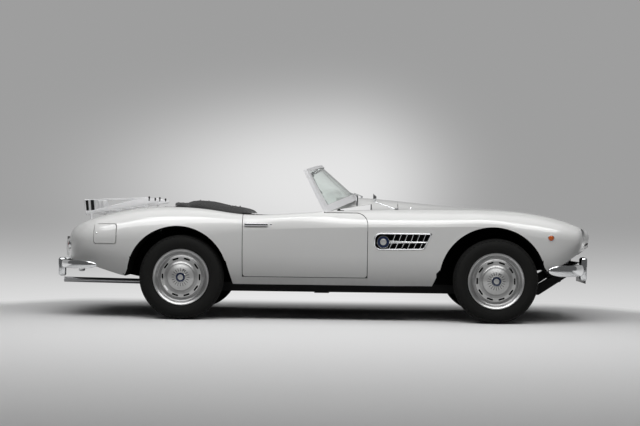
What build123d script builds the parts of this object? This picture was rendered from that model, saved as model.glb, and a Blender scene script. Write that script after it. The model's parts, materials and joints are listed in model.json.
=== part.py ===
from build123d import *
import math
import os

# Two-seat open roadster. Millimetres, +X forward, +Y to the car's left, +Z up.
# The origin is on the ground, under the middle of the car's length and width.

# ---- driving sizes -------------------------------------------------------
WHEELBASE = 2480.0
FRONT_AXLE_X = 1375.0
REAR_AXLE_X = FRONT_AXLE_X - WHEELBASE
FRONT_TRACK = 1445.0
REAR_TRACK = 1425.0
TYRE_R = 336.0
TYRE_WIDTH = 166.0
RIM_SEAT_R = 203.0
RIM_FLANGE_R = 222.0
RIM_HALF = 74.0
DISC_OUT = 56.0
CAP_R = 41.0
CAP_OUT = 102.0
HUB_BORE_R = 20.3
RUN = 0.3                 # running clearance at pins and shafts
FIT = 0.3                 # clearance between pieces that seat on each other

GAP = 5.0                 # shut line round a door, lid or flap
ARCH_FRONT_R = 420.0
ARCH_REAR_R = 400.0
ARCH_FRONT_DX = -27.0     # arch centre from the wheel's centre
ARCH_REAR_DX = -31.0
ARCH_Z = 340.0
LINER_Y = 455.0           # inner wall of the wheelhouses
# where each arch opens out below its round part: x and z
ARCH_FRONT_FLARE = [(940, 430), (874, 287), (868, 100), (1810, 100), (1800, 330), (1756, 430)]
ARCH_REAR_FLARE = [(-1500, 470), (-1552, 350), (-1556, 100), (-690, 100), (-694, 280), (-752, 470)]

DOOR_FRONT_X = 363.5      # middle of the door's front shut line
DOOR_REAR_X = -621.5
DOOR_BOTTOM_Z = 346.5
DOOR_INNER_Y = 700.0
DOOR_STEP_X = 20.0         # behind here the door's top is the crest of the side
DOOR_SHOULDER_Z = 858.0    # ahead of it the door ends below the crest
DOOR_SHOULDER_R = 90.0
COCKPIT_SIDE_Y = 695.0
COWL_FRONT_X = 110.0      # cockpit's front edge on the centre line
COWL_SIDE_X = -30.0       # and at its sides
SILL_INNER_Y = 600.0

BONNET_REAR_X = 614.5     # middle of the bonnet's rear shut line
BONNET_FRONT_X = 2035.0
BONNET_REAR_HALF = 507.0
BONNET_FRONT_HALF = 440.0
BOOT_FRONT_X = -1297.5
BOOT_REAR_X = -1982.5
BOOT_FRONT_HALF = 500.0
BOOT_REAR_HALF = 430.0
FLAP_FRONT_X = -1617.0
FLAP_REAR_X = -1798.0
FLAP_LOW_Z = 592.0
FLAP_HIGH_Z = 749.0
HINGE_PIN_R = GAP / 2 - RUN

FLOOR_Z = 290.0
FLOOR_T = 4.0
RAIL_Y = 365.0            # middle of each chassis rail
RAIL_W = 70.0
RAIL_H = 78.0
RAIL_LOW_Z = FLOOR_Z - RAIL_H
PAD_L, PAD_W, PAD_T = 120.0, 60.0, 8.0     # jack and tow pads under each rail
JACK_X = 0.0
TOW_X = -1600.0
TUNNEL_HALF = 135.0
TUNNEL_TOP = 480.0

KINGPIN_Y = 650.0
KINGPIN_LOW_Z = 215.0
KINGPIN_HIGH_Z = 470.0
STEER_ARM = 130.0
SPRING_Y = 480.0
TOWER_Z = 530.0

TOP_Z = 1200.0            # above everything but the windscreen
PANEL_LOW_Z = 710.0       # a lid's cut goes down to here
PANEL_CORNER_R = 60.0
DOOR_CORNER_R = 26.0
FLAP_CORNER_R = 20.0
FLAP_ROOM = 30.0           # room behind the flap
FLAP_FLOOR_Y = 735.0      # floor of the filler recess
FIREWALL_X = 400.0
FIREWALL_T = 20.0
BOOT_FLOOR_Z = 500.0
RAIL_ROOM_HALF = 430.0
AXLE_ROOM_R = 135.0
AXLE_WINDOW_Z = 600.0
RAIL_FRONT_X = 2010.0
RAIL_REAR_X = -2000.0
RADIATOR_LOW_Z = 357.0
ENGINE_HALF = 270.0
ENGINE_LOW_Z = 362.0
ENGINE_HIGH_Z = 800.0
BOOT_FLOOR_T = 25.0
LID_T = 24.0              # bonnet and boot lid, skin to underside
LID_CROWN = 0.3           # how much thicker they are along the middle
LID_ROOM_HALF = 520.0
SPRING_TOP_Z = BOOT_FLOOR_Z - BOOT_FLOOR_T - RAIL_H

VENT_REAR_X = 413.0
VENT_FRONT_X = 872.0
VENT_FRONT_LOW_X = 808.0
VENT_LOW_Z = 568.0
VENT_HIGH_Z = 705.0
VENT_FLOOR_Y = 720.0
VENT_RIM = 11.0
VENT_PROUD = 5.0
VENT_BARS = 6
VENT_BADGE_X = 486.0
VENT_BADGE_Z = 634.0
VENT_BADGE_R = 52.0

GRILLE_HALF = 410.0
GRILLE_LOW_Z = 606.0
GRILLE_HIGH_Z = 706.0
GRILLE_CORNER_R = 44.0
GRILLE_BACK_X = 2012.0
GRILLE_RIM = 12.0
GRILLE_BARS = 7
NOSE_BOW = 36.0           # how far the nose falls back at the grille's ends

LAMP_Y = 618.0
LAMP_Z = 668.0
LAMP_R = 88.0
LAMP_BACK_X = 1995.0
LAMP_FRONT_X = 2066.0
MARKER_X = 1798.0
MARKER_Z = 679.0
MARKER_Y = 808.0
MARKER_R = 23.0
TAIL_LAMP_X = -2032.0
TAIL_LAMP_ROOT_X = -1940.0
TAIL_LAMP_Y = 560.0
TAIL_LAMP_Z = 577.0
TAIL_LAMP_R = 36.0

SCREEN_BASE_MID = (266.0, 990.0)     # x and z on the centre line
SCREEN_BASE_SIDE = (19.0, 882.0)
SCREEN_BASE_HALF = 672.0
SCREEN_TOP_MID = (-30.0, 1248.0)
SCREEN_TOP_SIDE = (-143.0, 1200.0)
SCREEN_TOP_HALF = 590.0
SCREEN_FRAME_T = 26.0
SCREEN_GLASS_T = 6.0
SCREEN_RAIL = 0.075       # rail height as a share of the screen's
SCREEN_KEEP = 0.955       # width of the glass as a share of the screen's

# plan of a bumper: middle, bend and end, in X, with the bend's and end's Y
FRONT_BUMPER = (2190.0, 2085.0, 560.0, 1780.0, 806.0)
REAR_BUMPER = (-2190.0, -2085.0, 560.0, -1768.0, 806.0)
BUMPER_T = 22.0
FRONT_BUMPER_LOW = 376.0
FRONT_BUMPER_HIGH = 466.0
REAR_BUMPER_LOW = 392.0
REAR_BUMPER_HIGH = 456.0
OVERRIDER_Y = 425.0
FRONT_OVERRIDER = (332.0, 522.0)     # its lower and upper end
REAR_OVERRIDER = (318.0, 470.0)

SOFT_TOP_HALF = 640.0
RACK_HALF = 330.0
RACK_SLATS = 5
HANDLE_Y = 824.0
MIRROR_X = 405.0
MIRROR_Z = 977.0
MIRROR_R = 38.0
MIRROR_DEPTH = 26.0

EYE_H = 24.0              # suspension eyes round the kingpin
PIN_R = 12.0
STEER_ARM_Z = 310.0
STEERING_WHEEL = (-190.0, 370.0, 665.0)
STEERING_WHEEL_R = 185.0
STEERING_TILT = 30.0
DASH_X = 118.0
DASH_T = 55.0
DASH_LOW_Z = 700.0
DOOR_HINGE_IN = 3.3       # door hinges inside the widest line
FLAP_HINGE_IN = 2.3
HINGE_DROP = 4.0           # lid hinge below the skin on the centre line

# ---- body sections -------------------------------------------------------
# Half sections across the car. Each row, in millimetres and degrees:
#  x     place along the car          centre  height on the centre line
#  crest_y, crest_z  top of the wing  half    widest half width
#  wide_z  height of the widest line  up, down  lean of the side above and
#  below that line                    low_y, low_z  lower edge of the side
SECTIONS = [
    # x, centre, crest_y, crest_z, half, wide_z, up, down, low_y, low_z
    (2170, 724, 80, 720, 140, 658, 0, 0, 100, 586),
    (2152, 752, 200, 738, 310, 664, 0, 0, 260, 584),
    (2112, 774, 380, 752, 520, 668, 0, 0, 450, 582),
    (2074, 791, 510, 762, 660, 668, 0, 0, 600, 576),
    (2036, 804, 575, 772, 737, 668, 0, 0, 690, 562),
    (1965, 826, 590, 798, 770, 668, 0, 0, 730, 515),
    (1860, 852, 600, 828, 795, 672, 0, 0, 754, 448),
    (1650, 886, 608, 868, 812, 690, 2, 0, 757, 392),
    (1375, 909, 612, 892, 823, 748, 5, 1, 756, 300),
    (1000, 929, 620, 896, 822, 757, 12, 4, 749, 286),
    (600, 963, 632, 890, 820, 752, 14, 5, 741, 286),
    (250, 987, 672, 879, 819, 744, 12, 5, 737, 286),
    (-60, 975, 722, 861, 818, 737, 9, 4, 736, 286),
    (-340, 925, 738, 841, 818, 724, 5, 2, 736, 286),
    (-640, 868, 722, 838, 820, 700, 0, 0, 739, 286),
    (-900, 888, 672, 872, 823, 668, 0, 0, 747, 290),
    (-1130, 899, 640, 888, 825, 648, 0, 0, 752, 300),
    (-1450, 884, 622, 872, 821, 636, 0, 0, 748, 318),
    (-1700, 832, 608, 824, 798, 626, 0, 0, 730, 380),
    (-1880, 780, 585, 772, 752, 615, 0, 0, 694, 432),
    (-1975, 742, 520, 728, 672, 602, 0, 0, 625, 448),
    (-2035, 706, 390, 690, 530, 585, 0, 0, 490, 462),
    (-2078, 668, 240, 648, 360, 566, 0, 0, 330, 476),
    (-2105, 622, 90, 610, 150, 552, 0, 0, 130, 496),
]
VALLEY_IN = 120.0         # the dip between bonnet and wing, inboard of the crest
VALLEY_DROP = 10.0
TUCK = math.radians(24)   # lean of the side at its lower edge


def arc_pair(p, tp, q, tq):
    """Two arcs that leave p along tp and reach q along tq without a kink."""
    p, q = Vector(*p), Vector(*q)
    tp, tq = Vector(*tp).normalized(), Vector(*tq).normalized()
    v, t = q - p, tp + tq
    c = 1 - tp.dot(tq)
    if abs(c) < 1e-9:
        d = v.dot(v) / (4 * v.dot(tq))
    else:
        b = v.dot(t)
        d = (-b + math.sqrt(b * b + 2 * c * v.dot(v))) / (2 * c)
    a1, a2 = p + tp * d, q - tq * d
    mid = (a1 + a2) * 0.5
    way = (a2 - a1).normalized()
    return [Edge.make_tangent_arc(p, tp, mid), Edge.make_tangent_arc(mid, way, q)]


def body_section(row, inset=0.0):
    """Closed section of the body, shrunk by inset."""
    x, centre, crest_y, crest_z, half, wide_z, up, down, low_y, low_z = row
    valley_y = crest_y - VALLEY_IN if crest_y > 2.5 * VALLEY_IN else crest_y * 0.55
    centre, crest_z, half = centre - inset, crest_z - inset, half - inset
    valley_z = crest_z - VALLEY_DROP
    low_y = low_y - inset
    up, down = math.radians(up), math.radians(down)
    flat = (0, 1, 0)
    edges = arc_pair((x, 0, centre), flat, (x, valley_y, valley_z), flat)
    edges += arc_pair((x, valley_y, valley_z), flat, (x, crest_y, crest_z), flat)
    edges += arc_pair((x, crest_y, crest_z), flat, (x, half, wide_z),
                      (0, math.sin(up), -math.cos(up)))
    edges += arc_pair((x, half, wide_z), (0, -math.sin(down), -math.cos(down)),
                      (x, low_y, low_z), (0, -math.sin(TUCK), -math.cos(TUCK)))
    half_wire = Wire(edges)
    other = half_wire.mirror(Plane.XZ)
    foot = Edge.make_line((x, low_y, low_z), (x, -low_y, low_z))
    return Wire(edges + list(other.edges()) + [foot])


def body_loft(rows, inset=0.0):
    return Solid.make_loft([body_section(row, inset) for row in rows])


# ---- small shape helpers -------------------------------------------------
def block(x0, x1, y0, y1, z0, z1):
    """A box given by two of its corners."""
    size = (abs(x1 - x0), abs(y1 - y0), abs(z1 - z0))
    return Pos((x0 + x1) / 2, (y0 + y1) / 2, (z0 + z1) / 2) * Box(*size)


def rod(a, b, r):
    """A round bar from a to b."""
    a, b = Vector(*a), Vector(*b)
    plane = Plane(origin=a, z_dir=(b - a).normalized())
    return Solid.make_cylinder(r, (b - a).length, plane)


def drum(x, y0, y1, z, r):
    return rod((x, y0, z), (x, y1, z), r)


def outline(points, r):
    """A closed outline; r rounds every corner, or is a list with one radius a corner."""
    face = make_face(Polyline(points, close=True))
    radii = r if isinstance(r, (list, tuple)) else [r] * len(points)
    for point, radius in zip(points, radii):
        if radius:
            corner = face.vertices().sort_by_distance(Vector(*point))[0]
            face = fillet(corner, radius)
    return face


def side_prism(points, y0, y1, r=0.0):
    """An outline in X and Z, pushed from y0 to y1."""
    face = Plane(origin=(0, y0, 0), x_dir=(1, 0, 0), z_dir=(0, -1, 0)) * outline(points, r)
    return extrude(face, abs(y1 - y0), dir=(0, math.copysign(1, y1 - y0), 0))


def plan_prism(points, z0, z1, r=0.0):
    """An outline in X and Y, pushed from z0 to z1."""
    return extrude(Pos(0, 0, z0) * outline(points, r), abs(z1 - z0), dir=(0, 0, 1))


def end_prism(points, x0, x1, r=0.0):
    """An outline in Y and Z, pushed from x0 to x1."""
    face = Plane(origin=(x0, 0, 0), x_dir=(0, 1, 0), z_dir=(1, 0, 0)) * outline(points, r)
    return extrude(face, abs(x1 - x0), dir=(1, 0, 0))


def pipe(points, radii, r):
    path = FilletPolyline(*points, radius=radii) if radii else Line(*points)
    start = Plane(origin=path @ 0, z_dir=path % 0)
    return sweep(start * Circle(r), path=path)


def both_sides(shape):
    return [shape, mirror(shape, Plane.XZ)]


def save(node, shapes):
    """Write a node's solids to its own file."""
    solids = []
    for shape in shapes if isinstance(shapes, (list, tuple)) else [shapes]:
        solids += list(shape.solids())
    export_step(Compound(children=[Solid(s.wrapped) for s in solids]), f"parts/{node}.step")
    print(node, len(solids), round(sum(s.volume for s in solids) / 1e6, 2), "litres")


# ---- panel outlines, each grown by half a shut line or shrunk by it ------
def bonnet_outline(grow):
    rear, front = BONNET_REAR_X - grow, BONNET_FRONT_X + grow
    a, b = BONNET_REAR_HALF + grow, BONNET_FRONT_HALF + grow
    points = [(rear, -a), (front, -b), (front, b), (rear, a)]
    return plan_prism(points, PANEL_LOW_Z, TOP_Z, PANEL_CORNER_R + grow)


def boot_outline(grow):
    front, rear = BOOT_FRONT_X + grow, BOOT_REAR_X - grow
    a, b = BOOT_FRONT_HALF + grow, BOOT_REAR_HALF + grow
    points = [(front, -a), (front, a), (rear, b), (rear, -b)]
    return plan_prism(points, PANEL_LOW_Z - 50, TOP_Z, PANEL_CORNER_R + grow)


def door_outline(grow, y0, y1):
    front, rear, low = DOOR_FRONT_X + grow, DOOR_REAR_X - grow, DOOR_BOTTOM_Z - grow
    shoulder, step = DOOR_SHOULDER_Z + grow, DOOR_STEP_X + grow
    points = [(rear, low), (front, low), (front, shoulder), (step, shoulder), (step, TOP_Z), (rear, TOP_Z)]
    r = DOOR_CORNER_R + grow
    return side_prism(points, y0, y1, [r, r, DOOR_SHOULDER_R + grow, 0, r, r])


def flap_outline(grow, y0, y1):
    front, rear = FLAP_FRONT_X + grow, FLAP_REAR_X - grow
    low, high = FLAP_LOW_Z - grow, FLAP_HIGH_Z + grow
    points = [(rear, low), (front, low), (front, high), (rear, high)]
    return side_prism(points, y0, y1, FLAP_CORNER_R + grow)


def vent_outline(grow, y0, y1):
    """Side vent: round at its rear, cut off at a slant at its front."""
    rear, low, high = VENT_REAR_X - grow, VENT_LOW_Z - grow, VENT_HIGH_Z + grow
    points = [(rear, low), (VENT_FRONT_LOW_X + grow, low + 8),
              (VENT_FRONT_X + grow, high), (rear, high)]
    return side_prism(points, y0, y1, [55, 22, 8, 55])


def grille_outline(grow, x0, x1):
    half, low, high = GRILLE_HALF + grow, GRILLE_LOW_Z - grow, GRILLE_HIGH_Z + grow
    points = [(-half, low), (half, low), (half, high), (-half, high)]
    return end_prism(points, x0, x1, GRILLE_CORNER_R + grow)


def cockpit_outline():
    side, rear = COCKPIT_SIDE_Y, DOOR_REAR_X + GAP / 2 - 20
    points = [(rear, -side), (COWL_SIDE_X, -side), (COWL_FRONT_X, -330),
              (COWL_FRONT_X, 330), (COWL_SIDE_X, side), (rear, side)]
    return plan_prism(points, 700, TOP_Z, [40, 60, 150, 150, 60, 40])


def wheel_wells(x, radius, flare):
    """Both wheelhouses of an axle: round above, opening out below."""
    wells = []
    for side in (-1, 1):
        wells += [drum(x, side * LINER_Y, side * 1000, ARCH_Z, radius),
                  side_prism(flare, side * LINER_Y, side * 1000)]
    return wells


# ---- rooms inside the body -----------------------------------------------
def room(stations, low):
    """A hollow under the skin: at each x a half width, its top at the side and in the middle."""
    wires = []
    for x, half, side_z, centre_z in stations:
        arc = Edge.make_three_point_arc((x, -half, side_z), (x, 0, centre_z), (x, half, side_z))
        rest = [Edge.make_line((x, half, side_z), (x, half, low)),
                Edge.make_line((x, half, low), (x, -half, low)),
                Edge.make_line((x, -half, low), (x, -half, side_z))]
        wires.append(Wire([arc] + rest))
    return Solid.make_loft(wires, ruled=True)


# x, half width, top at the side, top in the middle
ENGINE_ROOM = [(FIREWALL_X + FIREWALL_T, 430, 862, 948), (1000, 430, 866, 904),
               (1400, 430, 862, 882), (1700, 425, 834, 856), (2010, 415, 756, 784)]
FOOT_ROOM = [(DOOR_REAR_X, 600, 838, 842), (FIREWALL_X, 600, 838, 952)]
BOOT_ROOM = [(-660, 430, 812, 842), (-900, 430, 850, 866), (-1290, 430, 848, 868),
             (-1450, 430, 838, 860), (-1700, 420, 790, 808), (-1890, 400, 734, 752)]


def lid_room(x_rear, x_front):
    """The space under a lid, LID_T below its skin and wider than the lid."""
    stations = []
    for x, centre, crest_y, crest_z, *rest in SECTIONS:
        if x_rear <= x <= x_front:
            valley = crest_z - VALLEY_DROP
            stations.append((x, LID_ROOM_HALF, valley - LID_T,
                             centre - LID_T - LID_CROWN * (centre - valley)))
    return room(stations, 100)


def make_body():
    """Body panels, all cut from one outer shape."""
    outer = body_loft(SECTIONS)
    edge = GAP / 2
    doors_end, doors_start = DOOR_FRONT_X + edge, DOOR_REAR_X - edge
    front_part = block(doors_end, 2300, -1000, 1000, 100, TOP_Z)
    cowl_part = block(COWL_SIDE_X - 60, doors_end, -COCKPIT_SIDE_Y, COCKPIT_SIDE_Y, 780, TOP_Z)
    wells = wheel_wells(FRONT_AXLE_X + ARCH_FRONT_DX, ARCH_FRONT_R, ARCH_FRONT_FLARE)
    foot_room = room(FOOT_ROOM, 100)
    firewall = [block(300, FIREWALL_X + FIREWALL_T, -SILL_INNER_Y, SILL_INNER_Y, 0, FLOOR_Z + FLOOR_T),
                block(300, FIREWALL_X + FIREWALL_T + 10, -TUNNEL_HALF, TUNNEL_HALF, 0, TUNNEL_TOP)]
    axle_window = block(FRONT_AXLE_X - 160, FRONT_AXLE_X + 160, -LINER_Y - 5, LINER_Y + 5, 0, AXLE_WINDOW_Z)
    front = outer & front_part
    front = front - [room(ENGINE_ROOM, 100), foot_room, bonnet_outline(edge), axle_window] - wells - firewall
    front = front - [grille_outline(0, GRILLE_BACK_X, 2300)]
    for side in (-1, 1):
        lamp_hole = rod((LAMP_BACK_X, side * LAMP_Y, LAMP_Z), (2300, side * LAMP_Y, LAMP_Z), LAMP_R + FIT)
        front = front - [lamp_hole, vent_outline(0, side * VENT_FLOOR_Y, side * 1000)]
    cowl = (outer & cowl_part) - [foot_room, cockpit_outline()]
    front = front + cowl
    for side in (-1, 1):
        shoulder = outer & block(DOOR_STEP_X + edge, doors_end + 1, side * (COCKPIT_SIDE_Y - 1), side * 1000,
                                 700, TOP_Z)
        front = front + (shoulder - door_outline(edge, side * 600, side * 1000))

    wells = wheel_wells(REAR_AXLE_X + ARCH_REAR_DX, ARCH_REAR_R, ARCH_REAR_FLARE)
    axle_room = drum(REAR_AXLE_X, -600, 600, TYRE_R, AXLE_ROOM_R)
    rear = outer & block(-2300, doors_start, -1000, 1000, 100, TOP_Z)
    boot_room = room(BOOT_ROOM, 100) - block(-2300, 0, -1000, 1000, 0, BOOT_FLOOR_Z)
    rear = rear - [boot_room, boot_outline(edge), axle_room] - wells
    rear = rear - [flap_outline(edge, -FLAP_FLOOR_Y, -1000), cockpit_outline()]
    rear = rear - [block(-2300, doors_start + 1, -RAIL_ROOM_HALF, RAIL_ROOM_HALF, 0, BOOT_FLOOR_Z - BOOT_FLOOR_T)]

    bonnet = (outer & bonnet_outline(-edge)) - [lid_room(550, 2080)]
    boot = (outer & boot_outline(-edge)) - [lid_room(-2040, -1100)]
    flap = outer & flap_outline(-edge, -FLAP_FLOOR_Y - FLAP_ROOM, -1000)
    doors = [outer & door_outline(-edge, side * DOOR_INNER_Y, side * 1000) for side in (-1, 1)]
    sill = outer & block(doors_start, doors_end, SILL_INNER_Y, 1000, 200, DOOR_BOTTOM_Z - edge)
    return outer, front, rear, bonnet, boot, flap, doors, both_sides(sill)


# ---- running gear --------------------------------------------------------
def turned(profile, y, side, x, z=TYRE_R):
    """A round piece on a wheel's axis; profile is (outward, radius) points."""
    face = make_face(Polyline([(x, y + side * out, z + r) for out, r in profile], close=True))
    return revolve(face, axis=Axis((x, y, z), (0, 1, 0)))


TYRE_PROFILE = [(-69.7, RIM_SEAT_R + FIT), (69.7, RIM_SEAT_R + FIT), (69.7, RIM_FLANGE_R + 1),
                (TYRE_WIDTH / 2 - 4, 244), (TYRE_WIDTH / 2, 276), (76, 306), (64, 324),
                (38, 334), (0, TYRE_R), (-38, 334), (-64, 324), (-76, 306),
                (-TYRE_WIDTH / 2, 276), (-TYRE_WIDTH / 2 + 4, 244), (-69.7, RIM_FLANGE_R + 1)]
WHEEL_PROFILE = [(70, RIM_SEAT_R), (70, RIM_FLANGE_R), (RIM_HALF, RIM_FLANGE_R),
                 (RIM_HALF, 214), (66, 199), (54, 193), (46, 178), (52, 170), (DISC_OUT, 152),
                 (60, 124), (68, 112), (64, 100), (82, 50), (84, CAP_R), (96, CAP_R - 4),
                 (CAP_OUT, 18), (CAP_OUT, 0), (40, 0), (40, HUB_BORE_R), (-40, HUB_BORE_R),
                 (-40, 150), (20, 150), (40, 178), (-30, 182), (-62, 197), (-RIM_HALF, 214),
                 (-RIM_HALF, RIM_FLANGE_R), (-70, RIM_FLANGE_R), (-70, RIM_SEAT_R),
                 (-58, RIM_SEAT_R), (-42, 190), (30, 190), (46, RIM_SEAT_R)]
SLOTS = 10
SLOT_R = 152.0
SLOT_SIZE = (47.0, 14.0)


def make_wheel(y, side, x):
    wheel = turned(WHEEL_PROFILE, y, side, x)
    slot = Box(SLOT_SIZE[0], 24, SLOT_SIZE[1])
    middle = (x, y + side * DISC_OUT, TYRE_R)
    slots = [Pos(*middle) * Rot(0, 360 * (i + 0.5) / SLOTS, 0) * Pos(0, 0, SLOT_R) * slot
             for i in range(SLOTS)]
    return wheel - slots


def make_knuckle(side):
    """Upright with its kingpin, stub shaft and steering arm."""
    x, y = FRONT_AXLE_X, side * KINGPIN_Y
    upright = rod((x, y, KINGPIN_LOW_Z + EYE_H / 2 + 1), (x, y, KINGPIN_HIGH_Z - EYE_H / 2 - 1), 20)
    pin = rod((x, y, KINGPIN_LOW_Z - EYE_H / 2), (x, y, KINGPIN_HIGH_Z + EYE_H / 2), PIN_R)
    stub_end = side * (FRONT_TRACK / 2 + 38)
    stub = rod((x, y, TYRE_R), (x, stub_end, TYRE_R), HUB_BORE_R - RUN)
    collar = rod((x, y, TYRE_R), (x, side * (FRONT_TRACK / 2 - 62), TYRE_R), 34)
    arm = block(x - STEER_ARM, x, y - 12, y + 12, STEER_ARM_Z - 10, STEER_ARM_Z + 10)
    boss = rod((x - STEER_ARM, y, STEER_ARM_Z - 14), (x - STEER_ARM, y, STEER_ARM_Z + 14), 14)
    return upright + pin + stub + collar + arm + boss


def make_front_suspension():
    """Wishbones, spring towers on the rails, and the cross beam under them."""
    x = FRONT_AXLE_X
    solids = [block(x - 60, x + 60, -RAIL_Y - RAIL_W / 2, RAIL_Y + RAIL_W / 2, RAIL_LOW_Z - 12, RAIL_LOW_Z)]
    for side in (-1, 1):
        inner, outer_y = side * (RAIL_Y + RAIL_W / 2), side * KINGPIN_Y
        for z, spread in ((KINGPIN_LOW_Z, 120), (KINGPIN_HIGH_Z, 80)):
            arm = Pos(x, outer_y, z) * Cylinder(24, EYE_H)
            arm = arm + [rod((x + s * spread, inner + side * 12, z), (x + s * 14, outer_y - side * 16, z), 11)
                         for s in (-1, 1)]
            arm = arm + rod((x - spread - 30, inner + side * 12, z), (x + spread + 30, inner + side * 12, z), 12)
            if z == KINGPIN_LOW_Z:
                arm = arm + block(x - 100, x + 100, side * (SPRING_Y - 30), side * (SPRING_Y + 30), z - 6, z + 8)
            solids.append(arm - Pos(x, outer_y, z) * Cylinder(PIN_R + RUN, EYE_H + 2))
        tower = block(x - 110, x + 110, side * (RAIL_Y - 20), inner, FLOOR_Z, TOWER_Z)
        tower = tower + block(x - 60, x + 60, side * (RAIL_Y - 20), side * (SPRING_Y + 40), TOWER_Z - 30, TOWER_Z)
        tower = tower + rod((x, side * SPRING_Y, KINGPIN_LOW_Z + 8), (x, side * SPRING_Y, TOWER_Z - 10), 30)
        solids.append(tower)
    return solids


def make_rails():
    """Two chassis rails that rise over the rear axle and at the nose."""
    low, high = RAIL_LOW_Z, FLOOR_Z
    rear_high = BOOT_FLOOR_Z - BOOT_FLOOR_T
    rear_low = rear_high - RAIL_H
    points = [(RAIL_REAR_X, rear_low), (-985, rear_low), (-850, low), (1760, low),
              (RAIL_FRONT_X, low + 165), (RAIL_FRONT_X, high + 160), (1745, high),
              (-805, high), (-940, rear_high), (RAIL_REAR_X, rear_high)]
    rails = []
    for side in (-1, 1):
        rail = side_prism(points, side * RAIL_Y - RAIL_W / 2, side * RAIL_Y + RAIL_W / 2)
        for x, z in ((JACK_X, low), (TOW_X, rear_low)):
            rail = rail + block(x - PAD_L / 2, x + PAD_L / 2, side * RAIL_Y - PAD_W / 2, side * RAIL_Y + PAD_W / 2,
                                z - PAD_T, z)
        rails.append(rail)
    return rails


def make_frame():
    """The rails with their cross tubes and engine mounts."""
    low = RAIL_LOW_Z
    rear_low = BOOT_FLOOR_Z - BOOT_FLOOR_T - RAIL_H
    inner = RAIL_Y - RAIL_W / 2
    tubes = [drum(x, -inner, inner, z, r) for x, z, r in
             ((RAIL_REAR_X + 60, rear_low + RAIL_H / 2, 22), (-200, low + 16, 15), (150, low + 16, 15),
              (1720, low + 36, 30), (1930, RADIATOR_LOW_Z - 22, 22))]
    mounts = [block(1000, 1060, side * (ENGINE_HALF - 20), side * inner, FLOOR_Z - 10, ENGINE_LOW_Z)
              for side in (-1, 1)]
    return make_rails() + tubes + mounts


def make_rear_axle():
    end = REAR_TRACK / 2 + 38
    x, z = REAR_AXLE_X, TYRE_R
    tube = drum(x, -REAR_TRACK / 2 + 64, REAR_TRACK / 2 - 64, z, 38)
    shaft = drum(x, -end, end, z, HUB_BORE_R - RUN)
    casing = Pos(x, 0, z) * Rot(90, 0, 0) * (Cylinder(112, 90) + Cylinder(70, 240))
    nose = rod((x, 0, z), (x + 190, 0, z), 56)
    axle = tube + shaft + casing + nose
    for side in (-1, 1):
        leg = rod((x, side * RAIL_Y, z), (x + 230, side * RAIL_Y, FLOOR_Z + 5), 16)
        seat = rod((x - 60, side * RAIL_Y, z - 10), (x - 60, side * RAIL_Y, SPRING_TOP_Z), 44)
        axle = axle + leg + seat
    return axle - make_rails()


# ---- the rest of the car ---------------------------------------------------
def wrap(x_mid, x_bend, y_bend, x_end, y_end, inset):
    """Half plan of a bumper: an arc across the car, then one round the corner."""
    s = math.copysign(1, x_mid)
    x_mid, x_bend = x_mid - s * inset, x_bend - s * inset
    y_bend, y_end = y_bend, y_end - inset
    sag = abs(x_mid - x_bend)
    radius = (y_bend ** 2 + sag ** 2) / (2 * sag)
    lean = math.asin(y_bend / radius)
    across = Edge.make_three_point_arc((x_bend, -y_bend, 0), (x_mid, 0, 0), (x_bend, y_bend, 0))
    turn = (-s * math.sin(lean), math.cos(lean), 0)
    corner = arc_pair((x_bend, y_bend, 0), turn, (x_end, y_end, 0), (-s, 0.06, 0))
    return [across] + corner + [e.mirror(Plane.XZ) for e in corner]


def make_bumper(sizes, low, high, rider_y, rider_low, rider_high):
    x_mid, x_bend, y_bend, x_end, y_end = sizes
    s = math.copysign(1, x_mid)
    outside, inner = wrap(*sizes, 0), wrap(*sizes, BUMPER_T)
    ends = [Edge.make_line((x_end, side * y_end, 0), (x_end, side * (y_end - BUMPER_T), 0)) for side in (-1, 1)]
    face = make_face(Wire(outside + inner + ends))
    blade = extrude(Pos(0, 0, low) * face, high - low, dir=(0, 0, 1))
    blade = fillet(blade.edges().filter_by_position(Axis.Z, high - 0.1, high + 0.1)
                   + blade.edges().filter_by_position(Axis.Z, low - 0.1, low + 0.1), 9)
    behind = make_face(Wire(wrap(*sizes, BUMPER_T + FIT)
                            + [Edge.make_line((x_end, -y_end + BUMPER_T + FIT, 0), (x_end, y_end - BUMPER_T - FIT, 0))]))
    behind = extrude(behind, 900, dir=(0, 0, 1))
    for side in (-1, 1):
        x_face = x_mid - s * (abs(x_mid - x_bend) * (rider_y / y_bend) ** 2)
        rider = block(x_face - s * 50, x_face + s * 16, side * rider_y - 30, side * rider_y + 30, rider_low, rider_high)
        rider = fillet(rider.edges(), 14)
        blade = blade + rider
    rail_end = RAIL_FRONT_X if s > 0 else RAIL_REAR_X
    brackets = [block(min(rail_end, x_mid), max(rail_end, x_mid), side * RAIL_Y - 20, side * RAIL_Y + 20,
                      (low + high) / 2 - 20, (low + high) / 2 + 20) & behind for side in (-1, 1)]
    return [blade], brackets


def screen_points(t, keep):
    """Left, middle and right point of the windscreen at height share t."""
    mix = lambda a, b: a + (b - a) * t
    side_x, side_z = mix(SCREEN_BASE_SIDE[0], SCREEN_TOP_SIDE[0]), mix(SCREEN_BASE_SIDE[1], SCREEN_TOP_SIDE[1])
    side_y = mix(SCREEN_BASE_HALF, SCREEN_TOP_HALF)
    mid_x, mid_z = mix(SCREEN_BASE_MID[0], SCREEN_TOP_MID[0]), mix(SCREEN_BASE_MID[1], SCREEN_TOP_MID[1])
    chord = keep
    bow = 1 - chord ** 2
    x, z = side_x + (mid_x - side_x) * bow, side_z + (mid_z - side_z) * bow
    return (x, side_y * chord, z), (mid_x, 0, mid_z)


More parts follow.
